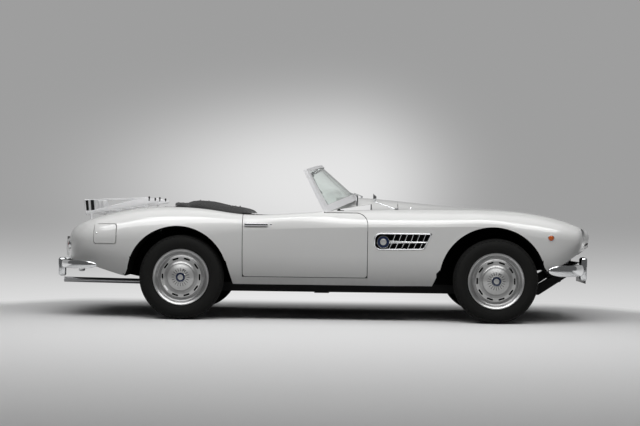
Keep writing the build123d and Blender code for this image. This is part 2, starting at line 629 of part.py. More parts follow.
def screen_slab(t0, t1, keep, thick):
    """A curved, raked slab between two heights of the windscreen."""
    wires = []
    for t in (t0, t1):
        (x, y, z), (mx, _, mz) = screen_points(t, keep)
        run = math.hypot(mx - x, mz - z)
        ux, uz = (mx - x) / run * thick / 2, (mz - z) / run * thick / 2
        front = Edge.make_three_point_arc((x + ux, y, z + uz), (mx + ux, 0, mz + uz), (x + ux, -y, z + uz))
        back = Edge.make_three_point_arc((x - ux, -y, z - uz), (mx - ux, 0, mz - uz), (x - ux, y, z - uz))
        ends = [Edge.make_line(front @ 1, back @ 0), Edge.make_line(back @ 1, front @ 0)]
        wires.append(Wire([front, ends[0], back, ends[1]]))
    return Solid.make_loft(wires, ruled=True)


def make_screen(outer):
    cowl = outer & block(-80, 420, -760, 760, 780, TOP_Z)
    frame = screen_slab(-0.08, 1.0, 1.0, SCREEN_FRAME_T)
    hole = screen_slab(SCREEN_RAIL, 1 - SCREEN_RAIL, SCREEN_KEEP, 140)
    inner = 0.0015
    glass = screen_slab(SCREEN_RAIL + inner, 1 - SCREEN_RAIL - inner, SCREEN_KEEP - inner / 2, SCREEN_GLASS_T)
    frame = (frame - hole) - cowl
    frame = frame.solids().sort_by(SortBy.VOLUME)[-1]
    (x, y, z), (mx, _, mz) = screen_points(1 - SCREEN_RAIL / 2, 1)
    stem = rod((mx - 8, 0, mz - 6), (mx - 60, 0, mz - 52), 5)
    mirror_body = fillet(block(mx - 82, mx - 60, -95, 95, mz - 78, mz - 30).edges(), 9)
    return frame, glass, (stem + mirror_body) - frame


def make_side_vents():
    rows = [row for row in SECTIONS if 100 < row[0] < 1100]
    skin = body_loft(rows, -VENT_PROUD)
    pieces = []
    for side in (-1, 1):
        y0, y1 = side * VENT_FLOOR_Y, side * 1000
        ring = vent_outline(-FIT, y0, y1) - vent_outline(-VENT_RIM, y0, y1)
        room_inside = vent_outline(-VENT_RIM + 1, y0, y1)
        spear = block(VENT_BADGE_X, VENT_FRONT_X, side * 790, y1, VENT_BADGE_Z - 6, VENT_BADGE_Z + 12)
        bars = []
        for i in range(VENT_BARS):
            x = VENT_REAR_X + 110 + i * 58
            bars.append(side_prism([(x, VENT_LOW_Z), (x + 16, VENT_LOW_Z), (x + 70, VENT_HIGH_Z), (x + 54, VENT_HIGH_Z)],
                                   side * 785, side * 812))
        inner = (Part() + [spear] + bars) & room_inside
        badge = rod((VENT_BADGE_X, side * 780, VENT_BADGE_Z), (VENT_BADGE_X, side * 900, VENT_BADGE_Z), VENT_BADGE_R)
        piece = (ring + inner + badge) & skin
        pieces.append(piece - (badge - skin))
    return pieces


def nose_band(front, depth, half, z0, z1):
    """A band across the nose, its front bowed like the nose in plan."""
    sag = NOSE_BOW * (half / GRILLE_HALF) ** 2
    arc = Edge.make_three_point_arc((front - sag, -half, 0), (front, 0, 0), (front - sag, half, 0))
    back = front - NOSE_BOW - depth
    lines = [Edge.make_line((front - sag, half, 0), (back, half, 0)),
             Edge.make_line((back, half, 0), (back, -half, 0)),
             Edge.make_line((back, -half, 0), (front - sag, -half, 0))]
    return extrude(Pos(0, 0, z0) * make_face(Wire([arc] + lines)), z1 - z0, dir=(0, 0, 1))


def make_grille():
    """A bright rim in the nose, with flat bars and a post in its middle."""
    nose = SECTIONS[0][0]
    ring = grille_outline(-FIT, GRILLE_BACK_X, 2300) - grille_outline(-GRILLE_RIM, GRILLE_BACK_X - 1, 2301)
    ring = ring & nose_band(nose + 6, 120, GRILLE_HALF + 10, GRILLE_LOW_Z - 5, GRILLE_HIGH_Z + 5)
    low, high = GRILLE_LOW_Z + GRILLE_RIM - 2, GRILLE_HIGH_Z - GRILLE_RIM + 2
    grille = ring + nose_band(nose - 10, 10, 9, low, high)
    corner = GRILLE_CORNER_R
    for i in range(GRILLE_BARS):
        z = low + (i + 0.5) * (high - low) / GRILLE_BARS
        rise = max(0.0, abs(z - (low + high) / 2) - (high - low) / 2 + corner)
        half = GRILLE_HALF - GRILLE_RIM + 2 - corner + math.sqrt(max(0, corner ** 2 - rise ** 2))
        grille = grille + nose_band(nose - 24, 10, half, z - 2.5, z + 2.5)
    return grille


def domed_lamp(y, z, root, rim, tip, r, lens_r):
    """A round lamp along X from its root to its rim, with a domed lens out to its tip."""
    steps = 5
    lens = [(rim + (tip - rim) * math.sin(math.pi / 2 * i / steps),
             lens_r * math.cos(math.pi / 2 * i / steps)) for i in range(steps)]
    points = [(tip, 0), (root, 0), (root, r), (rim, r)] + lens[(0 if lens_r < r else 1):]
    face = make_face(Polyline([(x, y, z + out) for x, out in points], close=True))
    return revolve(face, axis=Axis((0, y, z), (1, 0, 0)))


def make_lamps(outer):
    """Headlamps, side markers and tail lamps."""
    solids = []
    for side in (-1, 1):
        solids.append(domed_lamp(side * LAMP_Y, LAMP_Z, LAMP_BACK_X, LAMP_FRONT_X - 14,
                                 LAMP_FRONT_X, LAMP_R, LAMP_R - 8))
        marker = rod((MARKER_X, side * 740, MARKER_Z), (MARKER_X, side * MARKER_Y, MARKER_Z), MARKER_R)
        tail = domed_lamp(side * TAIL_LAMP_Y, TAIL_LAMP_Z, TAIL_LAMP_ROOT_X, TAIL_LAMP_X,
                          TAIL_LAMP_X - 12, TAIL_LAMP_R, TAIL_LAMP_R)
        for lamp in (marker, tail):
            solids.append((lamp - outer).solids().sort_by(SortBy.VOLUME)[-1])
    return solids


def make_seat(side):
    points = [(-70, FLOOR_Z + FLOOR_T + FIT), (-60, 440), (-430, 410), (-556, 790), (-618, 780),
              (-560, FLOOR_Z + FLOOR_T + FIT)]
    seat = side_prism(points, side * 150, side * 590, [20, 50, 60, 30, 30, 20])
    return seat


def make_soft_top(outer):
    deck = outer & block(-1300, -520, -760, 760, 760, TOP_Z)
    profile = [(-1216, 800), (-1216, 924), (-1114, 916), (-1060, 940), (-1012, 943), (-691, 890),
               (-566, 859), (-566, 800)]
    stack = side_prism(profile, -SOFT_TOP_HALF, SOFT_TOP_HALF)
    notch = plan_prism([(-700, -540), (-500, -540), (-500, 540), (-700, 540)], 700, TOP_Z)
    stack = stack & plan_prism([(-1216, -SOFT_TOP_HALF), (-560, -SOFT_TOP_HALF), (-560, SOFT_TOP_HALF),
                                (-1216, SOFT_TOP_HALF)], 700, TOP_Z, [180, 10, 10, 180])
    stack = stack - [notch, deck, block(-640, -500, -700, 700, 700, 838)]
    return stack.solids().sort_by(SortBy.VOLUME)[-1]


def make_rack(lid):
    """Luggage rack on the boot lid: side plates, slats, a rear fence and stays."""
    y = RACK_HALF
    plate = [(-1943, 816), (-1455, 908), (-1351, 922), (-1351, 940), (-1455, 964), (-1943, 838)]
    solid = None
    for side in (-1, 1):
        piece = side_prism(plate, side * y - 5, side * y + 5)
        for x, top in ((-1900, 830), (-1445, 915)):
            post = rod((x, side * y, 700), (x, side * y, top), 9) - lid
            piece = piece + post.solids().sort_by(Axis.Z)[-1]
        piece = piece + rod((-1943, side * y, 826), (-1957, side * y, 940), 6)
        piece = piece + rod((-1900, side * y, 940), (-1455, side * y, 960), 4)
        piece = piece + rod((-1957, side * y, 936), (-1900, side * y, 940), 5)
        piece = piece + [rod((x, side * y, 935), (x, side * y, z), 7) for x, z in ((-1425, 972), (-1375, 962))]
        solid = piece if solid is None else solid + piece
    for i in range(RACK_SLATS):
        share = (i + 0.5) / RACK_SLATS
        x, z = -1943 + 560 * share, 822 + 96 * share
        solid = solid + rod((x, -y, z), (x, y, z), 8)
    solid = solid + rod((-1957, -y, 936), (-1957, y, 936), 6)
    for x in (-1935, -1888):
        pad = [(x - 14, 852), (x + 14, 852), (x + 6, 940), (x - 22, 940)]
        solid = solid + side_prism(pad, -y + 4, y - 4)
    solid = solid + [rod((-1935, s * (y - 6), 900), (-1888, s * (y - 6), 900), 6) for s in (-1, 1)]
    solid = solid + [rod((-1957, s * y, 936), (-1900, s * y, 900), 5) for s in (-1, 1)]
    return solid.solids().sort_by(SortBy.VOLUME)[-1]


def make_handle(side):
    y = side * HANDLE_Y
    bar = fillet(block(-605, -421, y - 5, y + 5, 748, 768).edges(), 4)
    posts = [rod((x, side * (HANDLE_Y - 45), 758), (x, y, 758), 9) for x in (-588, -440)]
    return bar + posts


def make_mirror(outer):
    side = -1
    y = side * 636
    head = Solid.make_cone(MIRROR_R, 16, MIRROR_DEPTH, Plane(origin=(MIRROR_X, y, MIRROR_Z), z_dir=(1, 0, 0)))
    arm = rod((MIRROR_X + 12, y, MIRROR_Z - MIRROR_R + 10), (591, y, 888), 6)
    foot = rod((591, y, 860), (591, y, 898), 16)
    local = outer & block(540, 640, y - 60, y + 60, 800, 1000)
    return ((head + arm + foot) - local).solids().sort_by(SortBy.VOLUME)[-1]


def make_wipers(outer, frame, glass):
    solids = []
    cowl = outer & block(150, 420, -700, 700, 780, TOP_Z)
    for y in (-300, 130):
        x = SCREEN_BASE_MID[0] + 62 - 246 * (y / SCREEN_BASE_HALF) ** 2
        post = rod((x, y, 900), (x, y, 1002), 9)
        z = 1000
        arm = rod((x, y, z), (x - 62, y + 190, z + 26), 4)
        piece = (post + arm) - cowl
        solids.append(piece.solids().sort_by(SortBy.VOLUME)[-1] - [frame, glass])
    return solids


def make_pins(outer):
    """Hinge pins that stand in the shut lines of doors, lids and flap."""
    z_hood = section_at(BONNET_REAR_X, 1) - HINGE_DROP
    deck = outer & block(BOOT_FRONT_X - 0.5, BOOT_FRONT_X + 0.5, -5, 5, 700, TOP_Z)
    z_boot = deck.bounding_box().max.Z - HINGE_DROP
    door_y = section_at(DOOR_FRONT_X, 4) - DOOR_HINGE_IN
    wing = outer & block(FLAP_FRONT_X - 0.5, FLAP_FRONT_X + 0.5, -1000, 0, FLAP_LOW_Z, FLAP_HIGH_Z)
    flap_y = wing.bounding_box().min.Y + FLAP_HINGE_IN
    pins = [rod((BONNET_REAR_X, -60, z_hood), (BONNET_REAR_X, 60, z_hood), HINGE_PIN_R),
            rod((BOOT_FRONT_X, -60, z_boot), (BOOT_FRONT_X, 60, z_boot), HINGE_PIN_R),
            rod((FLAP_FRONT_X, flap_y, FLAP_LOW_Z + 18), (FLAP_FRONT_X, flap_y, FLAP_LOW_Z + 68), HINGE_PIN_R)]
    pins += [rod((DOOR_FRONT_X, side * door_y, 715), (DOOR_FRONT_X, side * door_y, 762), HINGE_PIN_R)
             for side in (-1, 1)]
    return pins


def section_at(x, column):
    """A column of the section table, in a straight line between its rows."""
    for a, b in zip(SECTIONS, SECTIONS[1:]):
        if b[0] <= x <= a[0]:
            return a[column] + (b[column] - a[column]) * (a[0] - x) / (a[0] - b[0])
    raise ValueError("x is off the body")


def make_floor():
    """Cabin floor with its tunnel."""
    inner, side = TUNNEL_HALF, SILL_INNER_Y
    x0, x1 = DOOR_REAR_X - GAP / 2, FIREWALL_X
    half = [(side, FLOOR_Z), (side, FLOOR_Z + FLOOR_T), (inner, FLOOR_Z + FLOOR_T),
            (inner - 20, TUNNEL_TOP), (-inner + 20, TUNNEL_TOP), (-inner, FLOOR_Z + FLOOR_T),
            (-side, FLOOR_Z + FLOOR_T), (-side, FLOOR_Z), (-inner + FLOOR_T, FLOOR_Z),
            (-inner + 20 + FLOOR_T, TUNNEL_TOP - FLOOR_T), (inner - 20 - FLOOR_T, TUNNEL_TOP - FLOOR_T),
            (inner - FLOOR_T, FLOOR_Z)]
    return end_prism(half, x0, x1)


def make_steering_wheel():
    x, y, z = STEERING_WHEEL
    tilt = math.radians(STEERING_TILT)
    axis = Vector(math.cos(tilt), 0, -math.sin(tilt))
    plane = Plane(origin=(x, y, z), z_dir=axis, x_dir=(0, 1, 0))
    rim = plane * Torus(STEERING_WHEEL_R, 11)
    hub = plane * (Pos(0, 0, 6) * Cylinder(34, 44))
    spokes = [plane * (Rot(0, 0, a) * Pos(STEERING_WHEEL_R / 2 + 10, 0, 0) * Box(STEERING_WHEEL_R - 30, 22, 6))
              for a in (0, 120, 240)]
    wheel = rim + hub + spokes
    socket = plane * (Pos(0, 0, 18) * Cylinder(12 + RUN, 22))
    return wheel - socket, plane


def make_column(plane):
    """Steering column from the wheel's hub to the firewall, hung from the dashboard."""
    start = plane.origin + plane.z_dir * (8 + RUN)
    length = (FIREWALL_X - start.X - 6) / plane.z_dir.X
    shaft = Solid.make_cylinder(12, length, Plane(origin=start, z_dir=plane.z_dir))
    jacket = Solid.make_cylinder(24, length - 160, Plane(origin=start + plane.z_dir * 60, z_dir=plane.z_dir))
    x = DASH_X + DASH_T / 2
    z = start.Z + plane.z_dir.Z * (x - start.X) / plane.z_dir.X
    bracket = block(x - 20, x + 20, start.Y - 18, start.Y + 18, z, DASH_LOW_Z)
    return shaft + jacket + bracket


def make_dashboard():
    x0, x1 = DASH_X, DASH_X + DASH_T
    half, low = SILL_INNER_Y, DASH_LOW_Z
    top_side, top_mid = 835.0, 880.0
    arc = Edge.make_three_point_arc((x0, -half, top_side), (x0, 0, top_mid), (x0, half, top_side))
    rest = [Edge.make_line((x0, half, top_side), (x0, half, low)),
            Edge.make_line((x0, half, low), (x0, -half, low)),
            Edge.make_line((x0, -half, low), (x0, -half, top_side))]
    return extrude(make_face(Wire([arc] + rest)), x1 - x0, dir=(1, 0, 0))


def make_controls():
    """Gear lever, handbrake and three pedals."""
    lever = rod((59, 0, TUNNEL_TOP + 5), (10, 0, TUNNEL_TOP + 190), 7) + Pos(10, 0, TUNNEL_TOP + 200) * Sphere(22)
    boot = Pos(60, 0, TUNNEL_TOP + 15) * Cone(45, 20, 30)
    brake = rod((-330, 45, TUNNEL_TOP), (-330, 45, TUNNEL_TOP + 40), 12)
    brake = brake + rod((-330, 45, TUNNEL_TOP + 30), (-150, 45, TUNNEL_TOP + 110), 10)
    pedals = []
    for y in (215, 300, 450):
        arm = rod((FIREWALL_X + 10, y, 580), (FIREWALL_X - 70, y, 420), 7)
        arm = arm - block(FIREWALL_X, FIREWALL_X + 50, y - 20, y + 20, 500, 640)
        pedals.append(arm + block(FIREWALL_X - 84, FIREWALL_X - 68, y - 28, y + 28, 390, 450))
    return [(lever + boot), brake] + pedals


def make_engine():
    low, high = ENGINE_LOW_Z, ENGINE_HIGH_Z
    points = [(770, low), (1340, low), (1340, high - 80), (1280, high), (820, high), (770, high - 80)]
    engine = side_prism(points, -ENGINE_HALF, ENGINE_HALF)
    radiator = block(1900, 1960, -290, 290, RADIATOR_LOW_Z, 740)
    return engine, radiator


def make_drive_line():
    gearbox = Solid.make_cone(150, 90, 350, Plane(origin=(770, 0, 380), z_dir=(-1, 0, 0)))
    shaft = rod((420, 0, 380), (REAR_AXLE_X + 191, 0, TYRE_R + 8), 34)
    return gearbox + shaft


def make_exhaust():
    y = -215.0
    pipe_a = pipe([(900, y, ENGINE_LOW_Z - 21.5), (640, y, 266), (-250, y, 266)], [160], 21)
    box_low, box_high = 225.0, 287.0
    silencer = fillet(block(-820, -240, y - 110, y + 110, box_low - 10, box_high).edges(), 20)
    tail = rod((-810, y, 262), (-2137, y, 279), 21)
    bore = rod((-2000, y, 277.3), (-2150, y, 279.2), 18)
    return [(pipe_a + silencer + tail) - bore,
            block(-300, -280, y - 60, y + 60, box_high, FLOOR_Z)]


def make_steering_rod():
    """Rack bar that pushes the steering arms, and its housing."""
    x, z = FRONT_AXLE_X - STEER_ARM, STEER_ARM_Z
    end = KINGPIN_Y - 14 - GAP
    bar = drum(x, -end, end, z, 9)
    housing = drum(x, -280, 280, z, 24) - drum(x, -300, 300, z, 9 + RUN)
    feet = [block(x - 15, x + 15, side * 265, side * (RAIL_Y - RAIL_W / 2), FLOOR_Z - 20, FLOOR_Z + 10)
            for side in (-1, 1)]
    return bar, (housing + feet) - drum(x, -300, 300, z, 9 + RUN)


def main():
    os.makedirs("parts", exist_ok=True)
    outer, front, rear, bonnet, boot, flap, doors, sills = make_body()
    save("body_front", front)
    save("body_rear", rear)
    save("sills", sills)
    save("hinge_pins", make_pins(outer))
    save("floor_pan", make_floor())
    save("chassis_frame", make_frame())
    save("bonnet", bonnet)
    save("boot_lid", boot)
    save("fuel_flap", flap)
    for name, side, door in (("right", -1, doors[0]), ("left", 1, doors[1])):
        handle = make_handle(side)
        save(f"door_{name}", door)
        save(f"door_handle_{name}", (handle - door).solids().sort_by(SortBy.VOLUME)[-1])
        save(f"knuckle_{name}", make_knuckle(side))
        for end, x, track in (("front", FRONT_AXLE_X, FRONT_TRACK), ("rear", REAR_AXLE_X, REAR_TRACK)):
            save(f"tyre_{end}_{name}", turned(TYRE_PROFILE, side * track / 2, side, x))
            save(f"wheel_{end}_{name}", make_wheel(side * track / 2, side, x))
    save("seats", [make_seat(side) for side in (-1, 1)])
    save("front_suspension", make_front_suspension())
    save("rear_axle", make_rear_axle())
    engine, radiator = make_engine()
    save("engine_block", engine)
    save("radiator", radiator)
    save("drive_line", make_drive_line())
    save("exhaust", make_exhaust())
    bar, housing = make_steering_rod()
    save("track_rod", bar)
    save("steering_rack", housing)
    frame, glass, mirror_inside = make_screen(outer)
    save("windscreen_frame", frame)
    save("windscreen_glass", glass)
    wheel, plane = make_steering_wheel()
    save("steering_wheel", wheel)
    save("steering_column", make_column(plane))
    save("dashboard", make_dashboard())
    save("controls", make_controls())
    save("soft_top", make_soft_top(outer))
    irons = []
    for name, sizes, low, high, rider in (
            ("front", FRONT_BUMPER, FRONT_BUMPER_LOW, FRONT_BUMPER_HIGH, FRONT_OVERRIDER),
            ("rear", REAR_BUMPER, REAR_BUMPER_LOW, REAR_BUMPER_HIGH, REAR_OVERRIDER)):
        blade, brackets = make_bumper(sizes, low, high, OVERRIDER_Y, *rider)
        save(f"{name}_bumper", blade)
        irons += brackets
    save("bumper_irons", irons)
    save("grille", make_grille())
    save("lamps", make_lamps(outer))
    save("side_vents", make_side_vents())
    save("luggage_rack", make_rack(boot))
    save("mirrors", [make_mirror(outer), mirror_inside])
    save("wipers", make_wipers(outer, frame, glass))


main()
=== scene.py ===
"""Open two-seat roadster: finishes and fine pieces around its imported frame."""

import json
import math

import bpy
from mathutils import Matrix, Vector
from mathutils.bvhtree import BVHTree

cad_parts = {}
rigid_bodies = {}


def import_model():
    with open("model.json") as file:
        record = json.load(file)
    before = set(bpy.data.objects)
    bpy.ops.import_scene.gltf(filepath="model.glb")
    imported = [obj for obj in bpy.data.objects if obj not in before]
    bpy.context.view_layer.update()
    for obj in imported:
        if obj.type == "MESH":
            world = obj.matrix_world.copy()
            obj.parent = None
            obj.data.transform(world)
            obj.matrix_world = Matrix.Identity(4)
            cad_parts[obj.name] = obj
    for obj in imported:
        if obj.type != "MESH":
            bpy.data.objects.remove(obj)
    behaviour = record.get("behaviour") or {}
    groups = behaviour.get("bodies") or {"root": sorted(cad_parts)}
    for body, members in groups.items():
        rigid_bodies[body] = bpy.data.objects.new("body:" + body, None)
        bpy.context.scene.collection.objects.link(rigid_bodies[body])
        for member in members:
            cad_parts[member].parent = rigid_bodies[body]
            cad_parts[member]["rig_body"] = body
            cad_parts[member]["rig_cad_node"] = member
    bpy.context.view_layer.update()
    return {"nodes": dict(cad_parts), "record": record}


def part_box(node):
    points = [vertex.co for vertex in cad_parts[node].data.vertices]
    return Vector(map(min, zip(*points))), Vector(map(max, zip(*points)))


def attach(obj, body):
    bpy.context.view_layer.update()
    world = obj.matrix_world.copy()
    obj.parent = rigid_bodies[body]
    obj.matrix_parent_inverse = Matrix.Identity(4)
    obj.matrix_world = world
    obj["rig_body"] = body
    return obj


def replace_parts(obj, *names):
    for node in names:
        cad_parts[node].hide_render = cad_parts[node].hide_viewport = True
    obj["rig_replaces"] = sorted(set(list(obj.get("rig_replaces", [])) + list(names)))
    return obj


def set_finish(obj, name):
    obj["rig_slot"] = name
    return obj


bl_info = {
    "name": "Open roadster",
    "version": (1, 0, 0),
    "blender": (4, 5, 0),
    "location": "View3D > Sidebar > Roadster",
    "description": "Builds the finishes and fine pieces of an open two-seat roadster",
    "category": "Object",
}

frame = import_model()
MM = 0.001

# ---- places taken from the frame, in metres --------------------------------
TAU = 2 * math.pi
SIDES = (("right", -1), ("left", 1))
ENDS = ("front", "rear")
FRONT_AXLE_X = 1.375
REAR_AXLE_X = -1.105
HUB_Z = 0.336
TRACK_HALF = {"front": 0.7225, "rear": 0.7125}
TYRE_HALF = 0.083
ARCHES = ((FRONT_AXLE_X - 0.027, 0.340, 0.420), (REAR_AXLE_X - 0.031, 0.340, 0.400))
ARCH_FEET = (((0.868, 0.100), (0.874, 0.287), (0.940, 0.430), (1.756, 0.430), (1.800, 0.330), (1.810, 0.100)),
             ((-1.556, 0.100), (-1.552, 0.350), (-1.500, 0.470), (-0.752, 0.470), (-0.694, 0.280),
              (-0.690, 0.100)))
ARCH_LIP_Y = 0.800
TAIL_X = -1.75             # behind here, what faces the rear is the outer skin
VENT_BOX = ((0.405, 0.56), (0.885, 0.713))
GRILLE_BOX = ((-0.412, 0.603), (0.412, 0.709))
WHEEL_BODY = {("front", "right"): "wheel_fr", ("front", "left"): "wheel_fl",
              ("rear", "right"): "wheel_rr", ("rear", "left"): "wheel_rl"}
SLOTS = [m["slot"] for m in frame["record"]["materials"]]
LEATHER_SLOT = [m["slot"] for m in frame["record"]["materials"] if m["class"] == "leather"][0]


def axle_x(end):
    """X of an end's axle."""
    return FRONT_AXLE_X if end == "front" else REAR_AXLE_X


# ---- shader maths -----------------------------------------------------------
class Value:
    """A socket in a node tree. Expressions on it add Math nodes."""

    def __init__(self, tree, socket):
        self.tree = tree
        self.socket = socket

    def node(self, kind, inputs=None, out=0, stops=None, **settings):
        """Add a node: its settings first, then the values or links of its sockets."""
        node = self.tree.nodes.new(kind)
        for key, value in settings.items():
            setattr(node, key, value)
        if stops:
            ramp = node.color_ramp
            while len(ramp.elements) < len(stops):
                ramp.elements.new(0.5)
            for element, (place, colour) in zip(ramp.elements, stops):
                element.position = place
                element.color = colour
        for key, value in (inputs or {}).items():
            target = node.inputs[key]
            if isinstance(value, Value):
                self.tree.links.new(value.socket, target)
            else:
                target.default_value = value
        return Value(self.tree, node.outputs[out])

    def math(self, operation, a, b=0.0):
        return self.node("ShaderNodeMath", {0: a, 1: b}, operation=operation)

    def __add__(self, other):
        return self.math("ADD", self, other)

    def __radd__(self, other):
        return self.math("ADD", other, self)

    def __sub__(self, other):
        return self.math("SUBTRACT", self, other)

    def __rsub__(self, other):
        return self.math("SUBTRACT", other, self)

    def __mul__(self, other):
        return self.math("MULTIPLY", self, other)

    def __rmul__(self, other):
        return self.math("MULTIPLY", other, self)

    def __truediv__(self, other):
        return self.math("DIVIDE", self, other)

    def __pow__(self, other):
        return self.math("POWER", self, other)

    def __rpow__(self, other):
        return self.math("POWER", other, self)

    def below(self, limit):
        return self.math("LESS_THAN", self, limit)

    def above(self, limit):
        return self.math("GREATER_THAN", self, limit)

    def sine(self):
        return self.math("SINE", self)

    def size(self):
        return self.math("ABSOLUTE", self)

    def clamp(self):
        return self.node("ShaderNodeClamp", {0: self})

    def smooth(self, low, high):
        """0 below low, 1 above high, smooth between."""
        return self.node("ShaderNodeMapRange", {0: self, 1: low, 2: high, 3: 0.0, 4: 1.0},
                         interpolation_type="SMOOTHSTEP")


class Finish:
    """A material under construction, with its Principled shader."""

    def __init__(self, name, colour, roughness, metallic=0.0, **sockets):
        self.material = bpy.data.materials.new(name)
        self.material.use_nodes = True
        tree = self.material.node_tree
        self.shader = tree.nodes["Principled BSDF"]
        self.set(**{"Base Color": (*colour, 1.0), "Roughness": roughness, "Metallic": metallic})
        self.set(**{key.replace("_", " "): value for key, value in sockets.items()})
        base = Value(tree, None)
        self.tree = tree
        self.maker = base
        place = tree.nodes.new("ShaderNodeTexCoord")
        self.place = Value(tree, place.outputs["Object"])
        split = base.node("ShaderNodeSeparateXYZ", {0: self.place}).socket.node
        self.x, self.y, self.z = (Value(tree, split.outputs[i]) for i in range(3))

    def set(self, **sockets):
        for key, value in sockets.items():
            target = self.shader.inputs[key]
            if isinstance(value, Value):
                self.material.node_tree.links.new(value.socket, target)
            else:
                target.default_value = value

    def noise(self, scale, detail=3.0, place=None, roughness=0.5):
        return self.maker.node("ShaderNodeTexNoise", {"Vector": place or self.place, "Scale": scale,
                                                      "Detail": detail, "Roughness": roughness})

    def cells(self, scale, feature="F1", place=None):
        return self.maker.node("ShaderNodeTexVoronoi", {"Vector": place or self.place, "Scale": scale},
                               feature=feature)

    def mix(self, share, a, b):
        """Colour a where share is 0 and b where it is 1."""
        return self.maker.node("ShaderNodeMix", {0: share, 6: a if isinstance(a, Value) else (*a, 1.0),
                                                 7: b if isinstance(b, Value) else (*b, 1.0)},
                               out=2, data_type="RGBA")

    def bump(self, height, depth, strength=1.0):
        normal = self.maker.node("ShaderNodeBump", {"Height": height, "Distance": depth,
                                                    "Strength": strength})
        self.set(Normal=normal)

    def radius(self, centre_x, centre_z):
        """Distance from an axis that lies across the car."""
        dx, dz = self.x - centre_x, self.z - centre_z
        return self.maker.math("SQRT", dx * dx + dz * dz)


FINISHES = {}


def finish_named(name):
    return FINISHES[name].material


def make_paint(colour):
    paint = Finish("white paint", colour, 0.32, Coat_Weight=1.0)
    paint.set(**{"Coat Roughness": 0.04})
    cloud = paint.noise(2.2, 2.0)
    low = paint.mix(cloud, [c * 0.985 for c in colour], [min(1.0, c * 1.01) for c in colour])
    # darker towards the sills below 0.42 m: road film and painted shade
    road_film_and_shade = (1.0 - paint.z.smooth(0.26, 0.42)) * paint.noise(30.0, 4.0) * 0.35
    paint.set(**{"Base Color": paint.mix(road_film_and_shade, low, (0.42, 0.41, 0.39)),
                 "Roughness": 0.30 + paint.noise(60.0, 2.0) * 0.06})
    paint.bump(paint.noise(420.0, 1.0), 0.00002, 0.35)
    return paint


def make_chrome():
    chrome = Finish("polished chrome", (0.84, 0.85, 0.86), 0.06, 1.0)
    smear = chrome.noise(14.0, 4.0)
    chrome.set(Roughness=0.035 + smear * 0.07)
    chrome.set(**{"Base Color": chrome.mix(smear, (0.86, 0.87, 0.88), (0.80, 0.81, 0.82))})
    return chrome


def make_plain(name, colour, roughness, metallic=0.0, grain=120.0, depth=0.0002, vary=0.25, **sockets):
    """A finish with a grain in its colour, gloss and surface."""
    made = Finish(name, colour, roughness, metallic, **sockets)
    grains = made.noise(grain, 4.0)
    patch = made.noise(grain / 14, 3.0)
    dark, light = [c * (1 - vary) for c in colour], [min(1.0, c * (1 + vary)) for c in colour]
    made.set(**{"Base Color": made.mix(patch, dark, light),
                "Roughness": roughness - 0.06 + grains * 0.12})
    made.bump(grains, depth, 0.6)
    return made


def make_wheel_paint():
    """Silver paint, dusty, darker towards the dish of the disc and in the rim's well by painted shading, with
    two thin dark ring lines.
    """
    made = Finish("wheel silver", (0.52, 0.52, 0.52), 0.32, 0.6, Coat_Weight=0.5)
    dust = made.noise(55.0, 4.0)
    dx = made.maker.math("MINIMUM", (made.x - FRONT_AXLE_X).size(), (made.x - REAR_AXLE_X).size())
    dz = made.z - HUB_Z
    radius = made.maker.math("SQRT", dx * dx + dz * dz)
    # painted shade: the dish and the rim's well are darkened, two thin dark ring lines are drawn, and dust
    # lies over all
    dish = radius.smooth(0.098, 0.108) * (1.0 - radius.smooth(0.128, 0.140))
    rim = radius.smooth(0.158, 0.170) * (1.0 - radius.smooth(0.190, 0.198))
    lines = (radius - 0.1635).size().below(0.0024) + (radius - 0.1905).size().below(0.0022)
    dust_and_shade = (dish * 0.45 + rim * 0.6 + lines * 0.8 + dust * 0.3).clamp()
    made.set(**{"Base Color": made.mix(dust_and_shade, (0.62, 0.62, 0.615), (0.20, 0.20, 0.20)),
                "Roughness": 0.24 + dust * 0.2})
    made.bump(made.noise(300.0, 2.0), 0.00004, 0.4)
    return made


def make_tyre():
    made = Finish("tyre rubber", (0.008, 0.008, 0.008), 0.8, Specular_IOR_Level=0.22)
    dust = made.noise(26.0, 5.0)
    made.set(**{"Base Color": made.mix(dust, (0.004, 0.004, 0.004), (0.012, 0.012, 0.011)),
                "Roughness": 0.68 + dust * 0.2})
    made.bump(made.noise(500.0, 3.0), 0.00025, 0.6)
    return made


def make_canvas():
    """Hood cloth: a fine square weave."""
    made = Finish("black canvas", (0.020, 0.020, 0.021), 0.88, Sheen_Weight=0.25)
    threads = 1700.0
    weave = (made.x * threads).sine() * (made.y * threads).sine()
    wear = made.noise(9.0, 5.0)
    made.set(**{"Base Color": made.mix(wear, (0.008, 0.008, 0.008), (0.020, 0.020, 0.020))})
    made.bump(weave * 0.5 + made.noise(40.0, 4.0), 0.0009, 0.7)
    return made


def make_leather(name, colour):
    made = Finish(name, colour, 0.42, Specular_IOR_Level=0.45)
    pores = made.cells(420.0, "DISTANCE_TO_EDGE")
    wear = made.noise(7.0, 4.0)
    dark, light = [c * 0.7 for c in colour], [c * 1.5 for c in colour]
    made.set(**{"Base Color": made.mix(wear, dark, light), "Roughness": 0.36 + wear * 0.16})
    made.bump(pores.smooth(0.0, 0.25), 0.0004, 0.5)
    return made


def make_carpet():
    made = Finish("carpet", (0.03, 0.03, 0.032), 0.97, Sheen_Weight=0.3)
    tufts = made.cells(260.0)
    made.set(**{"Base Color": made.mix(tufts, (0.016, 0.016, 0.017), (0.055, 0.054, 0.052))})
    made.bump(tufts, 0.0025, 1.0)
    return made


def make_glass(name, colour, roughness=0.0, ribs=0.0):
    made = Finish(name, colour, roughness, Transmission_Weight=1.0, IOR=1.45)
    if ribs:
        made.bump((made.y * ribs).sine() * 0.5 + made.noise(200.0) * 0.05, 0.0008, 0.5)
    else:
        made.bump(made.noise(6.0, 1.0), 0.00002, 0.2)
    return made


